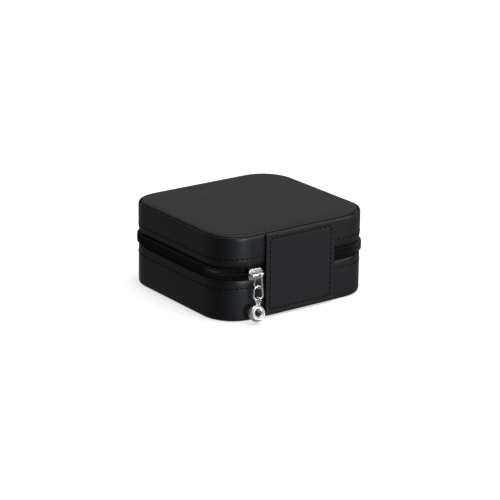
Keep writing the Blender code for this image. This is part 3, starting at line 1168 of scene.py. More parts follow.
@dataclass
class LeatherBands:
    """The leather round the base and the lid, turned in at the zip and grooved under its stitches."""

    plan: CasePlan
    finishes: Finishes
    stitching: Stitching
    thickness: float = 1.0 * MM
    base_pinch: float = 0.35 * MM
    lid_pinch: float = 0.42 * MM
    groove: float = 0.12 * MM
    base_seam: float = 4.75 * MM
    lid_seam: float = 3.95 * MM
    corner_lift: float = 0.55 * MM
    lift_reach: float = 25.0 * MM
    seam_share: float = 0.905
    thread_rise: float = 0.04 * MM

    def turned_edge(self, edge: float, away: float, pinch: float, seam: float) -> list[Point]:
        """The profile from the plain wall, over the seam, to the edge at the zip.

        Args:
            edge: The edge's height.
            away: 1 where the wall lies above the edge, and -1 where it lies below.
            pinch: How far the edge leans in.
            seam: How far from the edge the seam runs.

        Returns:
            Pairs of inset and height.
        """
        steps = (
            (seam + 2.4 * MM, 0.0),
            (seam + 0.7 * MM, 0.02 * MM),
            (seam + 0.28 * MM, self.groove * 0.5),
            (seam, self.groove),
            (seam - 0.28 * MM, self.groove * 0.5),
            (seam - 0.7 * MM, 0.04 * MM),
            (2.1 * MM, 0.08 * MM),
            (1.3 * MM, pinch * 0.45),
            (0.6 * MM, pinch * 0.75),
            (0.2 * MM, pinch),
            (0.0, pinch + 0.22 * MM),
            (0.05 * MM, self.thickness - 0.05 * MM),
            (0.5 * MM, self.thickness),
        )
        return [(inset, edge + away * distance) for distance, inset in steps]

    def base(self) -> bpy.types.Object:
        """The band round the base.

        Returns:
            The band.
        """
        low, high = (corner.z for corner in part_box("base_side_band"))
        foot = (
            (self.thickness, 1.1 * MM),
            (self.thickness, 0.15 * MM),
            (0.80 * MM, 0.0),
            (0.48 * MM, 0.07 * MM),
            (0.22 * MM, 0.32 * MM),
            (0.06 * MM, 0.75 * MM),
            (0.0, 1.4 * MM),
            (0.0, 4.5 * MM),
            (0.0, 8.5 * MM),
            (0.0, 12.5 * MM),
        )
        profile = [(inset, low + rise) for inset, rise in foot]
        profile += self.turned_edge(high, -1.0, self.base_pinch, self.base_seam)
        band = self.plan.sweep("base_band_leather", profile, Ends.JOINED, self.finishes.band)
        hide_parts("base_side_band")
        return self._settle(band, "base")

    def lid(self) -> bpy.types.Object:
        """The band round the lid, whose top edge stands up as a lip round the padded top.

        Returns:
            The band.
        """
        low, high = (corner.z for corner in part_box("lid_side_band"))
        lip = (
            (0.0, 6.5 * MM),
            (0.0, 2.6 * MM),
            (0.02 * MM, 1.3 * MM),
            (0.10 * MM, 0.7 * MM),
            (0.26 * MM, 0.26 * MM),
            (0.50 * MM, 0.04 * MM),
            (0.74 * MM, 0.08 * MM),
            (0.90 * MM, 0.34 * MM),
            (self.thickness, 1.1 * MM),
        )
        profile = list(reversed(self.turned_edge(low, 1.0, self.lid_pinch, self.lid_seam)))
        profile += [(inset, high - drop) for inset, drop in lip]
        band = self.plan.sweep("lid_band_leather", profile, Ends.JOINED, self.finishes.band)
        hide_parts("lid_side_band")
        return self._settle(band, "lid")

    def _settle(self, band: bpy.types.Object, body: str) -> bpy.types.Object:
        """Subdivide a band and put it on its body.

        Args:
            band: The band.
            body: The body.

        Returns:
            The band.
        """
        Bench.finer(band)
        if body == "base":
            self._lift_corners(band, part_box("base_side_band")[1].z - 1.5 * MM, self.corner_lift)
        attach(band, body)
        return band

    def _lift_corners(self, piece: bpy.types.Object, above: float, lift: float) -> None:
        """Draw the base's edge up at the case's corners, as the leather is pulled round them.

        Args:
            piece: The band, or its stitches.
            above: The height over which its corners are taken hold of.
            lift: How far they go up.
        """
        off = self.plan.radius * (1.0 - math.sqrt(0.5))
        x, y = self.plan.half_width - off, self.plan.half_depth - off
        near = 2.5 * MM

        def at_corner(co: Vector) -> bool:
            """Whether a place is at the middle of a corner, over the height."""
            return co.z > above and abs(abs(co.x) - x) < near and abs(abs(co.y) - y) < near

        Bench.move(piece, at_corner, (0.0, 0.0, lift), self.lift_reach)

    def seams(self) -> list[bpy.types.Object]:
        """The rows of stitches along both sides of the zip.

        Returns:
            The two rows.
        """
        rows = []
        places = (
            ("base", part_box("base_side_band")[1].z - self.base_seam, "base_leather"),
            ("lid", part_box("lid_side_band")[0].z + self.lid_seam, "lid_leather"),
        )
        for body, height, slot in places:
            row = self.stitching.round_case(
                f"{body}_seam_stitches",
                self.groove - self.thread_rise,
                height,
                self.plan.patch_start,
                self.plan.patch_end,
            )
            if body == "base":
                self._lift_corners(row, 0.0, self.corner_lift * self.seam_share)
            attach(row, body)
            rows.append(row)
        return rows


@dataclass
class TopPanel:
    """The padded leather panel on the lid, crowned by its foam inside the band's lip."""

    plan: CasePlan
    finishes: Finishes
    crown: float = 0.55 * MM
    fill: float = 0.85

    def build(self) -> bpy.types.Object:
        """Make the panel.

        Returns:
            The panel.
        """
        low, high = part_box("lid_top_cover")
        inset = self.plan.half_width - high.x
        steps = (
            (1.5 * MM, low.z),
            (0.70 * MM, low.z + 0.04 * MM),
            (0.36 * MM, low.z + 0.14 * MM),
            (0.28 * MM, low.z + 0.32 * MM),
            (0.42 * MM, low.z + 0.62 * MM),
            (0.80 * MM, low.z + 0.92 * MM),
            (1.40 * MM, low.z + 1.14 * MM),
            (2.3 * MM, low.z + 1.30 * MM),
            (3.6 * MM, high.z),
            (6.0 * MM, high.z + 0.04 * MM),
            (9.0 * MM, high.z + 0.05 * MM),
            (12.5 * MM, high.z + 0.05 * MM),
            (16.0 * MM, high.z + 0.05 * MM),
        )
        profile = [(inset + step, height) for step, height in steps]
        panel = self.plan.sweep("top_panel_leather", profile, Ends.CAPPED, self.finishes.top)
        self._crown(panel, high.z)
        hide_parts("lid_top_cover")
        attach(panel, "lid")
        return panel

    def _crown(self, panel: bpy.types.Object, height: float) -> None:
        """Lift the panel's middle into a low crown and subdivide it.

        Args:
            panel: The panel.
            height: The height of its rim.
        """
        Bench.edit(panel, "FACE")
        Bench.done()
        for polygon in panel.data.polygons:
            polygon.select = polygon.normal.z > 0.99 and len(polygon.vertices) > 8
        Bench.reopen(panel, "FACE")
        bpy.ops.mesh.inset(thickness=2.0 * MM)
        bpy.ops.mesh.poke()
        Bench.done()
        Bench.move(
            panel,
            lambda co: co.xy.length < 0.1 * MM and co.z > height - MM,
            (0.0, 0.0, self.crown),
            self.plan.half_depth,
        )
        Bench.finer(panel)
        Bench.smooth(panel, 60.0)


@dataclass
class HingePatch:
    """The leather patch sewn over both halves at the back, and the lining strip inside it."""

    finishes: Finishes
    stitching: Stitching
    side_seam: float = 2.6 * MM
    end_seam: float = 3.1 * MM
    groove: float = 0.08 * MM
    ridge: float = 0.6 * MM
    corner: float = 1.2 * MM
    rim: float = 0.38 * MM
    thread_rise: float = 0.06 * MM
    columns: int = 8
    rows: int = 36
    lining_rows: int = 12
    lining_rim: float = 0.25 * MM

    def build(self) -> bpy.types.Object:
        """Make the patch, which is put on neither body.

        Returns:
            The patch.
        """
        low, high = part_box("hinge_patch")
        patch = Bench.block("hinge_patch_leather", low, high)
        Bench.round_edges(patch, lambda a, b: abs(a.y - b.y) > (high.y - low.y) / 2, self.corner, 4)
        Bench.bevel(patch, self.rim, 3, 60.0)
        self._cut_lines(patch, low, high)
        self._press(patch, low, high)
        Bench.finer(patch, "SIMPLE")
        Bench.face_outwards(patch)
        Bench.smooth(patch, 60.0)
        Bench.dress(patch, self.finishes.patch)
        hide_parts("hinge_patch")
        self._bend(patch)
        return patch

    def _cut_lines(self, patch: bpy.types.Object, low: Vector, high: Vector) -> None:
        """Cut the rows and columns that the seams need, and more, evenly spaced, across the patch.

        Args:
            patch: The patch.
            low: Its lowest corner.
            high: Its highest corner.
        """
        columns = self._ridges(low.x + self.side_seam, high.x - self.side_seam)
        columns += [low.x + (high.x - low.x) * n / self.columns for n in range(1, self.columns)]
        rows = self._ridges(low.z + self.end_seam, high.z - self.end_seam)
        rows += [low.z + (high.z - low.z) * n / self.rows for n in range(3, self.rows - 2)]
        Bench.slice(patch, X, columns)
        Bench.slice(patch, Z, rows)

    def _ridges(self, *seams: float) -> list[float]:
        """The places of some seams and of the ridges on their two sides.

        Args:
            seams: The seams' places along an axis.

        Returns:
            Three places for each seam.
        """
        return [seam + side * self.ridge for seam in seams for side in (-1, 0, 1)]

    def _press(self, patch: bpy.types.Object, low: Vector, high: Vector) -> None:
        """Press the grooves of the seams into the outer face.

        Args:
            patch: The patch.
            low: Its lowest corner.
            high: Its highest corner.
        """
        left, right = low.x + self.side_seam, high.x - self.side_seam
        bottom, top = low.z + self.end_seam, high.z - self.end_seam
        near = 0.1 * MM
        face = high.y - 0.2 * MM

        def on_seam(co: Vector) -> bool:
            """Whether a place on the outer face is on a seam."""
            across = left - near < co.x < right + near
            along = bottom - near < co.z < top + near
            column = min(abs(co.x - left), abs(co.x - right)) < near and along
            row = min(abs(co.z - bottom), abs(co.z - top)) < near and across
            return co.y > face and (column or row)

        Bench.move(patch, on_seam, (0.0, -self.groove, 0.0))

    def _bend(self, piece: bpy.types.Object) -> None:
        """Move a piece's place into its mesh, and leave it on neither body.

        Args:
            piece: The piece.
        """
        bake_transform(piece)

    def seams(self) -> list[bpy.types.Object]:
        """The patch's four rows of stitches; the side rows are put on neither body, like the patch.

        Returns:
            The rows.
        """
        low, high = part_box("hinge_patch")
        left, right = low.x + self.side_seam, high.x - self.side_seam
        bottom, top = low.z + self.end_seam, high.z - self.end_seam
        y = high.y - self.groove + self.thread_rise
        outwards = Vector((0.0, 1.0, 0.0))
        sides = []
        for name, x in (("left", left), ("right", right)):
            start, end = Vector((x, y, bottom)), Vector((x, y, top))
            sides.append(self.stitching.straight(f"patch_stitches_{name}", start, end, outwards))
        side_rows = Bench.join("patch_side_stitches", sides)
        self._bend(side_rows)
        rows = [side_rows]
        for name, z, body in (("bottom", bottom, "base"), ("top", top, "lid")):
            start, end = Vector((left, y, z)), Vector((right, y, z))
            row = self.stitching.straight(f"patch_{name}_stitches", start, end, outwards)
            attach(row, body)
            rows.append(row)
        return rows

    def lining(self) -> bpy.types.Object:
        """The lining strip behind the patch, which is put on neither body.

        Returns:
            The strip.
        """
        low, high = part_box("hinge_lining")
        strip = Bench.block("hinge_lining_velvet", low, high)
        count = self.lining_rows
        Bench.slice(strip, Z, (low.z + (high.z - low.z) * n / count for n in range(1, count)))
        Bench.bevel(strip, self.lining_rim, 2, 60.0)
        Bench.smooth(strip, 60.0)
        Bench.dress(strip, self.finishes.velvet)
        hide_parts("hinge_lining")
        self._bend(strip)
        return strip


@dataclass
class Zip:
    """The zip round the case: two woven tapes and two rows of nylon coil that mesh at the middle."""

    plan: CasePlan
    finishes: Finishes
    pitch: float = 1.02 * MM
    loop_width: float = 0.80 * MM
    slant: float = 0.50 * MM
    mesh_depth: float = 0.45 * MM
    loop_depth: float = 2.0 * MM
    slider_gap: float = 0.3 * MM
    post_clearance: float = 2.65 * MM
    tape_overlap: float = 4.0 * MM
    tape_thickness: float = 0.5 * MM
    threads_at: tuple[Point, Point] = ((0.80 * MM, 0.06 * MM), (1.95 * MM, 0.16 * MM))
    thread_length: float = 0.62 * MM
    thread_thickness: float = 0.17 * MM

    def tape(self, body: str) -> bpy.types.Object:
        """One tape, from under the leather to under the coil.

        Args:
            body: base or lid.

        Returns:
            The tape.
        """
        low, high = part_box(f"zip_tape_{body}")
        outer = self.plan.half_width - high.x
        away = 1.0 if body == "base" else -1.0
        sewn, free = (low.z, high.z) if body == "base" else (high.z, low.z)
        bulge = ((0.0, 5.6 * MM), (0.10 * MM, 6.6 * MM), (0.16 * MM, 7.6 * MM), (0.20 * MM, 8.8 * MM))
        face = [(outer, sewn)] + [(outer - rise, sewn + away * along) for rise, along in bulge]
        face.append((outer - 0.24 * MM, free))
        profile = face + [(inset + self.tape_thickness, height) for inset, height in reversed(face)]
        if body == "lid":
            profile.reverse()
        tape = self.plan.sweep(f"zip_tape_{body}_weave", profile, Ends.JOINED, self.finishes.tape)
        start, end = (corner.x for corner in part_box("hinge_patch"))
        start += self.tape_overlap
        end -= self.tape_overlap
        self._open(tape, Vector((start, 0.0, low.z - MM)), Vector((end, 2 * high.y, high.z + MM)))
        if body == "lid":
            slider_low, slider_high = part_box("slider_body")
            middle = (slider_low.z + slider_high.z) / 2
            corner = Vector((slider_high.x + self.slider_gap, 2 * high.y, middle + self.post_clearance))
            self._open(tape, Vector((end - 0.2 * MM, high.y / 2, low.z - MM)), corner)
        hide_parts(f"zip_tape_{body}")
        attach(tape, body)
        return tape

    @staticmethod
    def _open(tape: bpy.types.Object, low: Vector, high: Vector) -> None:
        """Cut a tape away where the patch or the slider's post takes its place.

        Args:
            tape: The tape.
            low: The lowest corner of what is cut away.
            high: The highest corner.
        """
        Bench.cut(tape, Bench.block("tape_cutter", low, high))
        Bench.smooth(tape, 60.0)

    def loop(self, name: str, tip: float, root: float) -> bpy.types.Object:
        """One loop of the coil, along Z, with its round back towards -Y.

        Args:
            name: Its name.
            tip: The height of its meshing end, from the zip's middle.
            root: The height of its end on the tape.

        Returns:
            The loop.
        """
        length = abs(tip - root)
        Bench.clear_selection()
        bpy.ops.mesh.primitive_cylinder_add(
            vertices=8, radius=0.5, depth=length, end_fill_type="TRIFAN", location=(0, 0, (tip + root) / 2)
        )
        piece = Bench.named(name)
        piece.scale = (self.loop_width, self.loop_depth, 1.0)
        Bench.apply_place(piece)
        rings = ((0.10, 0.85, 0.40), (0.35, 1.0, 0.14), (0.70, 1.0, 0.0), (0.92, 0.92, 0.06))
        shapes = ((0.0, 0.45, 0.75), *rings, (1.0, 0.55, 0.28))
        Bench.slice(piece, Z, (root + (tip - root) * share for share, _, _ in rings))
        for share, width, sink in shapes:
            height = root + (tip - root) * share
            Bench.edit(piece)
            Bench.pick(piece, lambda co, height=height: abs(co.z - height) < 0.01 * MM)
            bpy.ops.transform.resize(value=(width, width, 1.0), center_override=(0.0, 0.0, height))
            bpy.ops.transform.translate(value=(share * self.slant, sink * MM, 0.0))
            Bench.done()
        Bench.face_outwards(piece)
        Bench.smooth(piece, 70.0)
        Bench.dress(piece, self.finishes.nylon)
        return piece

    def _end(self, body: str) -> float:
        """Where a half of the chain ends: under the patch, or at the slider.

        Args:
            body: base or lid.

        Returns:
            The place along X.
        """
        return self.plan.patch_end if body == "base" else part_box("slider_body")[1].x + self.slider_gap

    @staticmethod
    def _heights() -> tuple[float, float]:
        """The heights of the chain's middle and of its lower edge."""
        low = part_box("zip_chain_base")[0].z
        return (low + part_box("zip_chain_lid")[1].z) / 2, low

    def _proud(self) -> float:
        """How far the chain stands out from the case's outline."""
        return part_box("zip_chain_base")[1].x - self.plan.half_width

    def threads(self, body: str) -> list[bpy.types.Object]:
        """The rows of fine thread that sew one half of the coil to its tape.

        Args:
            body: base or lid.

        Returns:
            The rows.
        """
        middle, _ = self._heights()
        side = 1.0 if body == "lid" else -1.0
        sewing = Stitching(
            self.plan, self.finishes, self.thread_length, self.pitch, self.thread_thickness, THIN_SIDES
        )
        rows = []
        for number, (height, depth) in enumerate(self.threads_at, 1):
            row = sewing.round_case(
                f"zip_coil_{body}_thread_{number}",
                depth - self._proud(),
                middle + side * height,
                self.plan.patch_start,
                self._end(body),
            )
            Bench.dress(row, self.finishes.coil_thread)
            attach(row, body)
            rows.append(row)
        return rows

    def coil(self, body: str) -> bpy.types.Object:
        """One half of the coil.

        Args:
            body: base or lid.

        Returns:
            The coil.
        """
        middle, low = self._heights()
        side = 1.0 if body == "lid" else -1.0
        coil = self.loop(f"zip_coil_{body}_nylon", -side * self.mesh_depth, side * (middle - low))
        if body == "lid":
            Bench.edit(coil)
            bpy.ops.transform.translate(value=(self.pitch / 2, 0.0, 0.0))
            Bench.done()
        inset = self.loop_depth / 2 - self._proud()
        guide = self.plan.path(
            f"zip_coil_{body}_guide", inset, middle, self.plan.patch_start, self._end(body)
        )
        self.plan.repeat_along(coil, guide, self.pitch)
        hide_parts(f"zip_chain_{body}")
        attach(coil, body)
        return coil


@dataclass(frozen=True)
class CharmSizes:
    """The charm's sizes, and how it hangs."""

    radius: float = 4.3 * MM
    hole: float = 2.0 * MM
    thickness: float = 4.0 * MM
    rounding: float = 0.75 * MM
    eyelet: float = 1.0 * MM
    eyelet_wire: float = 0.4 * MM
    forward: float = 1.4 * MM
    drop: float = 5.1 * MM
    hang: float = 0.4 * MM
    tilt: float = math.radians(28)
    lean: float = math.radians(17)
    steps: int = 56


@dataclass
class WireWork:
    """The slider, and the ring, link, small ring and charm that hang on it."""

    finishes: Finishes
    charm_sizes: CharmSizes = CharmSizes()
    segments: int = 40
    sides: int = 14
    plate_drop: float = 2.85 * MM
    plate_thickness: float = 1.1 * MM
    plate_corner: float = 1.6 * MM
    plate_rim: float = 0.4 * MM
    wing_gap: float = 0.3 * MM
    wing_thickness: float = 0.8 * MM
    inner_rim: float = 0.3 * MM
    post_half: float = 2.5 * MM
    post_low: float = 0.45 * MM
    post_high: float = 2.45 * MM
    post_back: float = 0.4 * MM
    post_front: float = 3.2 * MM
    bow_wire: float = 0.55 * MM
    bow_bend: float = 1.2 * MM
    bow_flatness: float = 1.9

    def loop(
        self, name: str, node: str, wire: float, width: float, turn: float, flare: Point
    ) -> bpy.types.Object:
        """A round-ended wire loop that fills a CAD node's box, with its upper and lower halves flared.

        Args:
            name: Its name.
            node: The CAD node.
            wire: The wire's radius.
            width: The loop's width between wire middles.
            turn: The turn of its plane about the vertical, from the X axis.
            flare: How many times wider its upper and its lower bends are.

        Returns:
            The loop.
        """
        low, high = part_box(node)
        middle = (low + high) / 2
        radius = width / 2
        stretch = (high.z - low.z) / 2 - wire - radius
        Bench.clear_selection()
        bpy.ops.mesh.primitive_torus_add(
            major_segments=self.segments,
            minor_segments=self.sides,
            major_radius=radius,
            minor_radius=wire,
            rotation=(math.radians(90), 0.0, 0.0),
        )
        piece = Bench.named(name)
        Bench.apply_place(piece)
        if stretch > 0:
            for side in (1.0, -1.0):
                Bench.move(piece, lambda co, side=side: co.z * side > 0.01 * MM, (0.0, 0.0, side * stretch))
        for side, wider in zip((1.0, -1.0), flare):
            Bench.edit(piece)
            Bench.pick(piece, lambda co, side=side: co.z * side > stretch * 0.9)
            bpy.ops.transform.resize(value=(wider, 1.0, 1.0), center_override=(0.0, 0.0, 0.0))
            Bench.done()
        piece.rotation_euler.z = turn
        piece.location = middle
        Bench.apply_place(piece)
        Bench.smooth(piece, 60.0)
        Bench.dress(piece, self.finishes.nickel)
        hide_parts(node)
        return piece

    def chain(self) -> list[bpy.types.Object]:
        """The ring on the slider's bow, the heavier link on it, and the small ring that holds the charm.

        Returns:
            The three loops.
        """
        loops = []
        for node, wire, width, turn, body, flare in (
            ("pull_ring", 0.4, 4.0, -61.0, "ring", (1.0, 1.22)),
            ("pull_link", 0.55, 4.9, -11.0, "link", (1.0, 1.12)),
            ("charm_ring", 0.4, 3.3, -70.0, "charm", (1.0, 1.0)),
        ):
            piece = self.loop(f"{node}_nickel", node, wire * MM, width * MM, math.radians(turn), flare)
            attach(piece, body)
            loops.append(piece)
        return loops

    def slider(self) -> bpy.types.Object:
        """The slider: a flat plate with rounded edges, and the bow that the ring hangs on.

        Returns:
            The slider.
        """
        low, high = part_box("slider_body")
        face = high.y - self.plate_drop
        plate_low = Vector((low.x, face - self.plate_thickness, low.z))
        plate_high = Vector((high.x, face, high.z))
        plate = Bench.block("slider_plate", plate_low, plate_high)
        Bench.round_edges(plate, lambda a, b: abs(a.y - b.y) > self.plate_thickness / 2, self.plate_corner, 5)
        Bench.bevel(plate, self.plate_rim, 4, 50.0)
        inner = self._inner_wing(low, high)
        bow = self._bow(low, high, face)
        slider = Bench.join("slider_nickel", [plate, inner, bow])
        Bench.smooth(slider, 45.0)
        Bench.dress(slider, self.finishes.nickel)
        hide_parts("slider_body")
        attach(slider, "slider")
        return slider

    def _inner_wing(self, low: Vector, high: Vector) -> bpy.types.Object:
        """The wing inside the coil and the post that holds it.

        Args:
            low: The slider's lowest corner.
            high: Its highest corner.

        Returns:
            The joined pieces.
        """
        gap = self.wing_gap
        wing = Bench.block(
            "slider_wing",
            Vector((low.x + gap, low.y, low.z + gap)),
            Vector((high.x - 6 * gap, low.y + self.wing_thickness, high.z - 4 * gap)),
        )
        Bench.bevel(wing, self.inner_rim, 3)
        middle = (low + high) / 2
        post = Bench.block(
            "slider_post",
            Vector((middle.x - self.post_half, low.y + self.post_back, middle.z + self.post_low)),
            Vector((middle.x + self.post_half, high.y - self.post_front, middle.z + self.post_high)),
        )
        Bench.bevel(post, self.inner_rim, 3)
        return Bench.join("slider_inside", [wing, post])

    def _bow(self, low: Vector, high: Vector, face: float) -> bpy.types.Object:
        """The bow on the slider's plate.

        Args:
            low: The slider's lowest corner.
            high: Its highest corner.
            face: The plate's outer face along Y.

        Returns:
            The bow.
        """
        middle = (low + high) / 2
        wire, bend = self.bow_wire, self.bow_bend
        foot = bend - (high.y - wire - face) - 0.4 * MM
        Bench.clear_selection()
        bpy.ops.mesh.primitive_torus_add(
            major_segments=48, minor_segments=self.sides, major_radius=bend, minor_radius=wire
        )
        bow = Bench.named("slider_bow")
        for axis, side, shift in ((X, 1, 2.5), (X, -1, 2.5), (Y, -1, 1.6)):
            move = [0.0, 0.0, 0.0]
            move[axis] = side * shift * MM
            Bench.move(bow, lambda co, axis=axis, side=side: co[axis] * side > 0.01 * MM, move)
        Bench.edit(bow)
        bpy.ops.transform.resize(value=(1.0, 1.0, self.bow_flatness))
        bpy.ops.mesh.bisect(plane_co=(0, foot, 0), plane_no=(0, 1, 0), clear_inner=True, use_fill=True)
        Bench.done()
        bow.location = (middle.x, high.y - wire - bend, middle.z)
        Bench.apply_place(bow)
        return bow

    def charm(self) -> bpy.types.Object:
        """The thick round charm, rounded towards its hole, with the eyelet that it hangs by.

        Returns:
            The charm.
        """
        sizes = self.charm_sizes
        Bench.clear_selection()
        bpy.ops.mesh.primitive_plane_add(size=1.0, location=((sizes.radius + sizes.hole) / 2, 0.0, 0.0))
        charm = Bench.named("charm_nickel")
        charm.scale = (sizes.radius - sizes.hole, sizes.thickness, 1.0)
        Bench.apply_place(charm)
        Bench.edit(charm)
        bpy.ops.mesh.bevel(affect="VERTICES", offset=sizes.rounding, segments=5, profile=0.5)
        bpy.ops.mesh.delete(type="ONLY_FACE")
        bpy.ops.mesh.select_all(action="SELECT")
        bpy.ops.mesh.spin(steps=sizes.steps, angle=2 * math.pi, center=(0.0, 0.0, 0.0), axis=(0.0, 1.0, 0.0))
        bpy.ops.mesh.select_all(action="SELECT")
        bpy.ops.mesh.remove_doubles(threshold=0.002 * MM)
        Bench.done()
        Bench.clear_selection()
        bpy.ops.mesh.primitive_torus_add(
            major_segments=28,
            minor_segments=10,
            major_radius=sizes.eyelet,
            minor_radius=sizes.eyelet_wire,
            location=(0.0, sizes.forward, sizes.drop),
            rotation=(math.radians(90), 0.0, 0.0),
        )
        eyelet = Bench.named("charm_eyelet")
        Bench.apply_place(eyelet)
        charm = Bench.join("charm_nickel", [charm, eyelet])
        low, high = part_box("charm_ring")
        hang = Vector(((low.x + high.x) / 2, (low.y + high.y) / 2, low.z + sizes.hang))
        charm.matrix_world = (
            Matrix.Translation(hang)
            @ Matrix.Rotation(sizes.tilt, 4, "X")
            @ Matrix.Rotation(-sizes.lean, 4, "Y")
            @ Matrix.Translation((0.0, -sizes.forward, -sizes.drop))
        )
        Bench.apply_place(charm)
        Bench.face_outwards(charm)
        Bench.smooth(charm, 50.0)
        Bench.dress(charm, self.finishes.charm_nickel)
        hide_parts("charm")
        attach(charm, "charm")
        return charm


@dataclass
class LidFittings:
    """The soft pieces in the lid: necklace straps, the flat pocket and its gathered elastic."""

    plan: CasePlan
    finishes: Finishes
    pocket_corner: float = 10.6 * MM
    strap_corner: float = 1.75 * MM
    strap_seam: float = 0.9 * MM
    strap_margin: float = 1.5 * MM
    stitch_length: float = 1.1 * MM
    stitch_pitch: float = 1.6 * MM
    stitch_thickness: float = 0.12 * MM
    gathers: int = 52
    gather_depth: float = 0.22 * MM
    crown: float = 0.30 * MM
    fill: float = 0.9
    pocket_columns: int = 10

    def _plate(self, name: str, node: str, corner: float, rim: float) -> bpy.types.Object:
        """A flat plate with round corners and a soft rim, in a CAD node's box.

        Args:
            name: Its name.
            node: The CAD node.
            corner: Its corners' radius.
            rim: Its rim's rounding.

        Returns:
            The plate.
        """
        low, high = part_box(node)
        piece = Bench.block(name, low, high)
        Bench.round_edges(piece, lambda a, b: abs(a.z - b.z) > (high.z - low.z) / 2, corner, 8)
        Bench.bevel(piece, rim, 3, 60.0)
        return piece

    def strap(self, number: int) -> list[bpy.types.Object]:
        """One necklace strap, sewn along both sides.

        Args:
            number: Its number.

        Returns:
            The strap and its stitches.
        """
        node = f"necklace_strap_{number}"
        low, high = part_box(node)
        strap = self._plate(f"{node}_leather", node, self.strap_corner, 0.28 * MM)
        Bench.smooth(strap, 50.0)
        Bench.dress(strap, self.finishes.strap)
        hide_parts(node)
        sewing = Stitching(
            self.plan, self.finishes, self.stitch_length, self.stitch_pitch, self.stitch_thickness, THIN_SIDES
        )
        rows = []
        for side, x in (("left", low.x + self.strap_seam), ("right", high.x - self.strap_seam)):
            start = Vector((x, low.y + self.strap_margin, low.z))
            end = Vector((x, high.y - self.strap_margin, low.z))
            rows.append(sewing.straight(f"{node}_{side}", start, end, Vector((0.0, 0.0, -1.0))))
        stitches = Bench.join(f"{node}_stitches", rows)
        for piece in (strap, stitches):
            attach(piece, "lid")
        return [strap, stitches]

    def pocket(self) -> bpy.types.Object:
        """The flat velvet pocket, slightly full in its middle.

        Returns:
            The pocket.
        """
        low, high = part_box("lid_pocket")
        pocket = self._plate("lid_pocket_velvet", "lid_pocket", self.pocket_corner, 0.3 * MM)
        for step in range(1, self.pocket_columns):
            place = low + (high - low) * (step / self.pocket_columns)
            Bench.slice(pocket, X, [place.x])
            Bench.slice(pocket, Y, [place.y])
        middle = (low + high) / 2
        Bench.move(
            pocket,
            lambda co: co.z < low.z + 0.05 * MM and (co - middle).length < 1.5 * MM,
            (0.0, 0.0, -self.crown),
            (high.y - low.y) * 0.48,
        )
        Bench.face_outwards(pocket)
        Bench.smooth(pocket, 50.0)
        Bench.dress(pocket, self.finishes.velvet)
        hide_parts("lid_pocket")
        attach(pocket, "lid")
        return pocket

    def elastic(self) -> bpy.types.Object:
        """The pocket's elastic mouth, gathered in small ribs.

        Returns:
            The elastic.
        """
        low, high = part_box("pocket_elastic")
        elastic = self._plate("pocket_elastic_weave", "pocket_elastic", 1.0 * MM, 0.35 * MM)
        span = high.x - low.x
        places = [low.x + 2 * MM + (span - 4 * MM) * step / self.gathers for step in range(self.gathers + 1)]
        Bench.slice(elastic, X, places)
        sunk = places[1::2]
        Bench.move(
            elastic,
            lambda co: co.z < low.z + 0.05 * MM and min(abs(co.x - x) for x in sunk) < 0.02 * MM,
            (0.0, 0.0, self.gather_depth),
        )
        Bench.smooth(elastic, 70.0)
        Bench.dress(elastic, self.finishes.tape)
        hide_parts("pocket_elastic")
        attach(elastic, "lid")
        return elastic


@dataclass
class RingRolls:
    """The seven padded velvet rolls that hold rings between them."""

    finishes: Finishes
    count: int = 7
    rounding: float = 1.9 * MM
    crown: float = 0.35 * MM
    margin: float = 0.12 * MM
    cuts: int = 10
    fill: float = 0.9

    def build(self) -> list[bpy.types.Object]:
        """Make the rolls.

        Returns:
            The rolls.
        """
        return [self._roll(f"ring_roll_{number}") for number in range(1, self.count + 1)]

    def _roll(self, node: str) -> bpy.types.Object:
        """One roll: a soft bar, rounded along its top and crowned in the middle.

        Args:
            node: The CAD node it takes the place of.

        Returns:
            The roll.
        """
        low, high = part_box(node)
        edge = Vector((self.margin, self.margin, 0.0))
        roll = Bench.block(f"{node}_velvet", low + edge, high - edge - Vector((0.0, 0.0, self.crown)))
        size = high - low
        along, across = (X, Y) if size.x > size.y else (Y, X)
        top = high.z - self.crown - 0.1 * MM
        rounding = min(self.rounding, 0.42 * size[across])
        Bench.round_edges(roll, lambda a, b: min(a.z, b.z) > top, rounding, 5)
        Bench.slice(roll, along, ((low + size * (n / self.cuts))[along] for n in range(1, self.cuts)))
        Bench.slice(roll, Z, (low.z + size.z * share for share in (0.3, 0.6)))
        middle = (low + high) / 2
        Bench.move(
            roll,
            lambda co: co.z > top and abs(co[along] - middle[along]) < size[along] * 0.06,
            (0.0, 0.0, self.crown),
            size[along] / 2,
        )
        Bench.finer(roll, limit=False)
        Bench.face_outwards(roll)
        Bench.smooth(roll, 70.0)
        Bench.dress(roll, self.finishes.insert)
        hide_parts(node)
        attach(roll, "base")
        return roll


@dataclass(frozen=True)
class SoftBox:
    """A soft light: its name, place, width and height, power in watts, and colour."""

    name: str
    place: Place
    size: Point
    power: float
    colour: Colour = (1.0, 1.0, 1.0)

    def set_up(self, aim: Vector) -> None:
        """Set the light up.

        Args:
            aim: What it points at.
        """
        data = bpy.data.lights.new(self.name, "AREA")
        data.shape = "RECTANGLE"
        data.size, data.size_y = self.size
        data.energy = self.power
        data.color = self.colour
        light = bpy.data.objects.new(self.name, data)
        light.location = self.place
        light.rotation_mode = "QUATERNION"
        light.rotation_quaternion = (aim - Vector(self.place)).to_track_quat("-Z", "Y")
        bpy.context.scene.collection.objects.link(light)


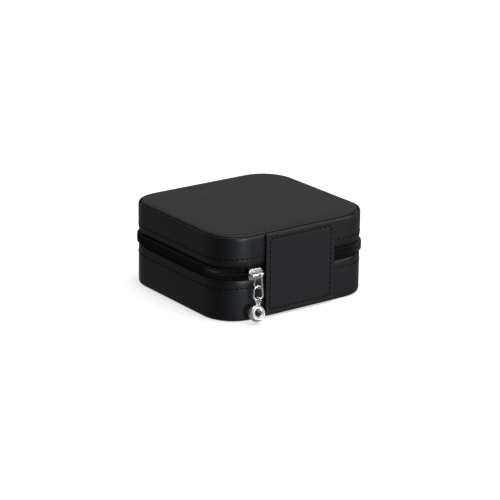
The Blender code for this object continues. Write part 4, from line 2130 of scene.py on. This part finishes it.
@dataclass
class Studio:
    """The pale floor, the soft lights and the camera."""

    surround: float = 0.205
    surround_colour: Colour = (0.98, 0.99, 1.0)
    floor_size: float = 8.0
    floor_glow: float = 0.57
    card_place: Place = (0.80, 0.17, 0.0)
    card_size: Point = (0.75, 0.62)
    card_turn: float = math.radians(90 + 12)
    camera_place: Place = (0.62707, 0.86343, 0.37890)
    camera_back: Place = (0.5575, 0.7664, 0.3188)
    camera_roll: float = math.radians(0.571)
    lens: float = 147.1
    sensor: float = 36.0
    aim: Place = (0.0, 0.0, 0.024)
    lights: tuple[SoftBox, ...] = (
        SoftBox("overhead", (-0.25, 0.15, 1.3), (1.2, 1.2), 14.0),
        SoftBox("back_panel", (-0.45, -0.75, 0.42), (0.9, 0.3), 0.30),
        SoftBox("hinge_fill", (-0.50, 0.66, 0.12), (0.5, 0.22), 1.6, (1.0, 0.99, 0.98)),
        SoftBox("corner_strip", (0.06, 0.85, 0.06), (0.25, 0.11), 3.6, (0.80, 0.88, 1.0)),
    )

    @staticmethod
    def paint(
        name: str, grain: float, tones: Point, roughness: Point, values: Mapping[str, object]
    ) -> bpy.types.Material:
        """A matt grey with a faint unevenness.

        Args:
            name: The material's name.
            grain: The size of its unevenness.
            tones: Its darker and its lighter grey.
            roughness: Its lowest roughness, and how much that rises with the lighter grey.
            values: Further values, by socket name.

        Returns:
            The material.
        """
        g = Graph(name)
        tone = g.noise(grain, 2.0)
        dark, light = ((grey, grey, grey) for grey in tones)
        links = {"Base Color": g.mix(tone, dark, light), "Roughness": tone * roughness[1] + roughness[0]}
        return g.finish(links, {"Specular IOR Level": 0.0, **values})

    def floor(self) -> None:
        """The floor, which glows a little and stays out of reflections."""
        Bench.clear_selection()
        bpy.ops.mesh.primitive_plane_add(size=self.floor_size)
        floor = Bench.named("studio_floor")
        glow = {"Emission Strength": 1.0, "Emission Color": (*[self.floor_glow] * 3, 1.0)}
        Bench.dress(floor, self.paint("studio_paper", 0.2, (0.82, 0.85), (0.85, 0.1), glow))
        floor.visible_glossy = False
        floor.visible_diffuse = False

    def flag(self) -> None:
        """A black card that keeps light off the case's +X corner, out of the camera's sight."""
        Bench.clear_selection()
        bpy.ops.mesh.primitive_plane_add(size=1.0, location=self.card_place)
        card = Bench.named("studio_flag")
        card.scale = (*self.card_size, 1.0)
        card.rotation_euler = (math.radians(90), 0.0, self.card_turn)
        Bench.apply_place(card)
        Bench.dress(card, self.paint("black_card", 0.1, (0.002, 0.003), (0.9, 0.05), {}))
        card.visible_camera = False
        card.visible_shadow = False
        card.visible_diffuse = False

    def world(self) -> None:
        """An even grey surround."""
        world = bpy.data.worlds.new("studio_surround")
        world.use_nodes = True
        background = world.node_tree.nodes["Background"]
        background.inputs["Color"].default_value = (*self.surround_colour, 1.0)
        background.inputs["Strength"].default_value = self.surround
        bpy.context.scene.world = world

    def camera(self) -> None:
        """The camera, low on the corner between the hinge side and the +X side."""
        back = Vector(self.camera_back).normalized()
        right = Vector((0.0, 0.0, 1.0)).cross(back).normalized()
        up = back.cross(right)
        sine, cosine = math.sin(self.camera_roll), math.cos(self.camera_roll)
        across = right * cosine + up * sine
        upright = up * cosine - right * sine
        data = bpy.data.cameras.new("camera")
        data.lens = self.lens
        data.sensor_width = self.sensor
        camera = bpy.data.objects.new("camera", data)
        turn = Matrix((across, upright, back)).transposed().to_4x4()
        camera.matrix_world = Matrix.Translation(self.camera_place) @ turn
        bpy.context.scene.collection.objects.link(camera)
        bpy.context.scene.camera = camera

    def build(self) -> None:
        """Set everything up."""
        self.world()
        self.floor()
        self.flag()
        for soft_box in self.lights:
            soft_box.set_up(Vector(self.aim))
        self.camera()
        bpy.context.scene.view_settings.view_transform = "Standard"


def carry_over(finishes: Finishes) -> None:
    """Give the CAD nodes that stay visible their materials.

    Args:
        finishes: The finishes.
    """
    kept = {
        "base_bottom_cover": finishes.band,
        "base_core": finishes.board,
        "lid_core": finishes.board,
        "base_lining": finishes.velvet,
        "lid_lining": finishes.velvet,
        "centre_divider": finishes.velvet,
        "tray_divider_1": finishes.velvet,
        "tray_divider_2": finishes.velvet,
        "zip_end_tab": finishes.tape,
        "lid_top_foam": finishes.foam,
    }
    for number in range(1, 4):
        kept[f"strap_snap_{number}"] = finishes.nickel
    for node, finish in kept.items():
        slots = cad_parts[node].data.materials
        slots.clear()
        slots.append(finish)


def main() -> None:
    """Build the case in order, then the studio."""
    logging.basicConfig(level=logging.INFO, format="%(message)s")
    finishes = Finishes()
    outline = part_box("base_side_band")[1]
    plan = CasePlan(outline.x, outline.y)
    stitching = Stitching(plan, finishes)
    carry_over(finishes)
    bands = LeatherBands(plan, finishes, stitching)
    patch = HingePatch(finishes, stitching)
    zip_line = Zip(plan, finishes)
    wires = WireWork(finishes)
    made = [bands.base(), bands.lid(), *bands.seams()]
    made.append(TopPanel(plan, finishes).build())
    made += [patch.build(), *patch.seams(), patch.lining()]
    for body in ("base", "lid"):
        made += [zip_line.tape(body), zip_line.coil(body), *zip_line.threads(body)]
    made.append(wires.slider())
    made += [*wires.chain(), wires.charm()]
    made += RingRolls(finishes).build()
    fittings = LidFittings(plan, finishes)
    for number in range(1, 4):
        made += fittings.strap(number)
    made += [fittings.pocket(), fittings.elastic()]
    for piece in made:
        LOG.info("%s: %d faces", piece.name, len(piece.data.polygons))
    Studio().build()


if __name__ == "__main__":
    main()
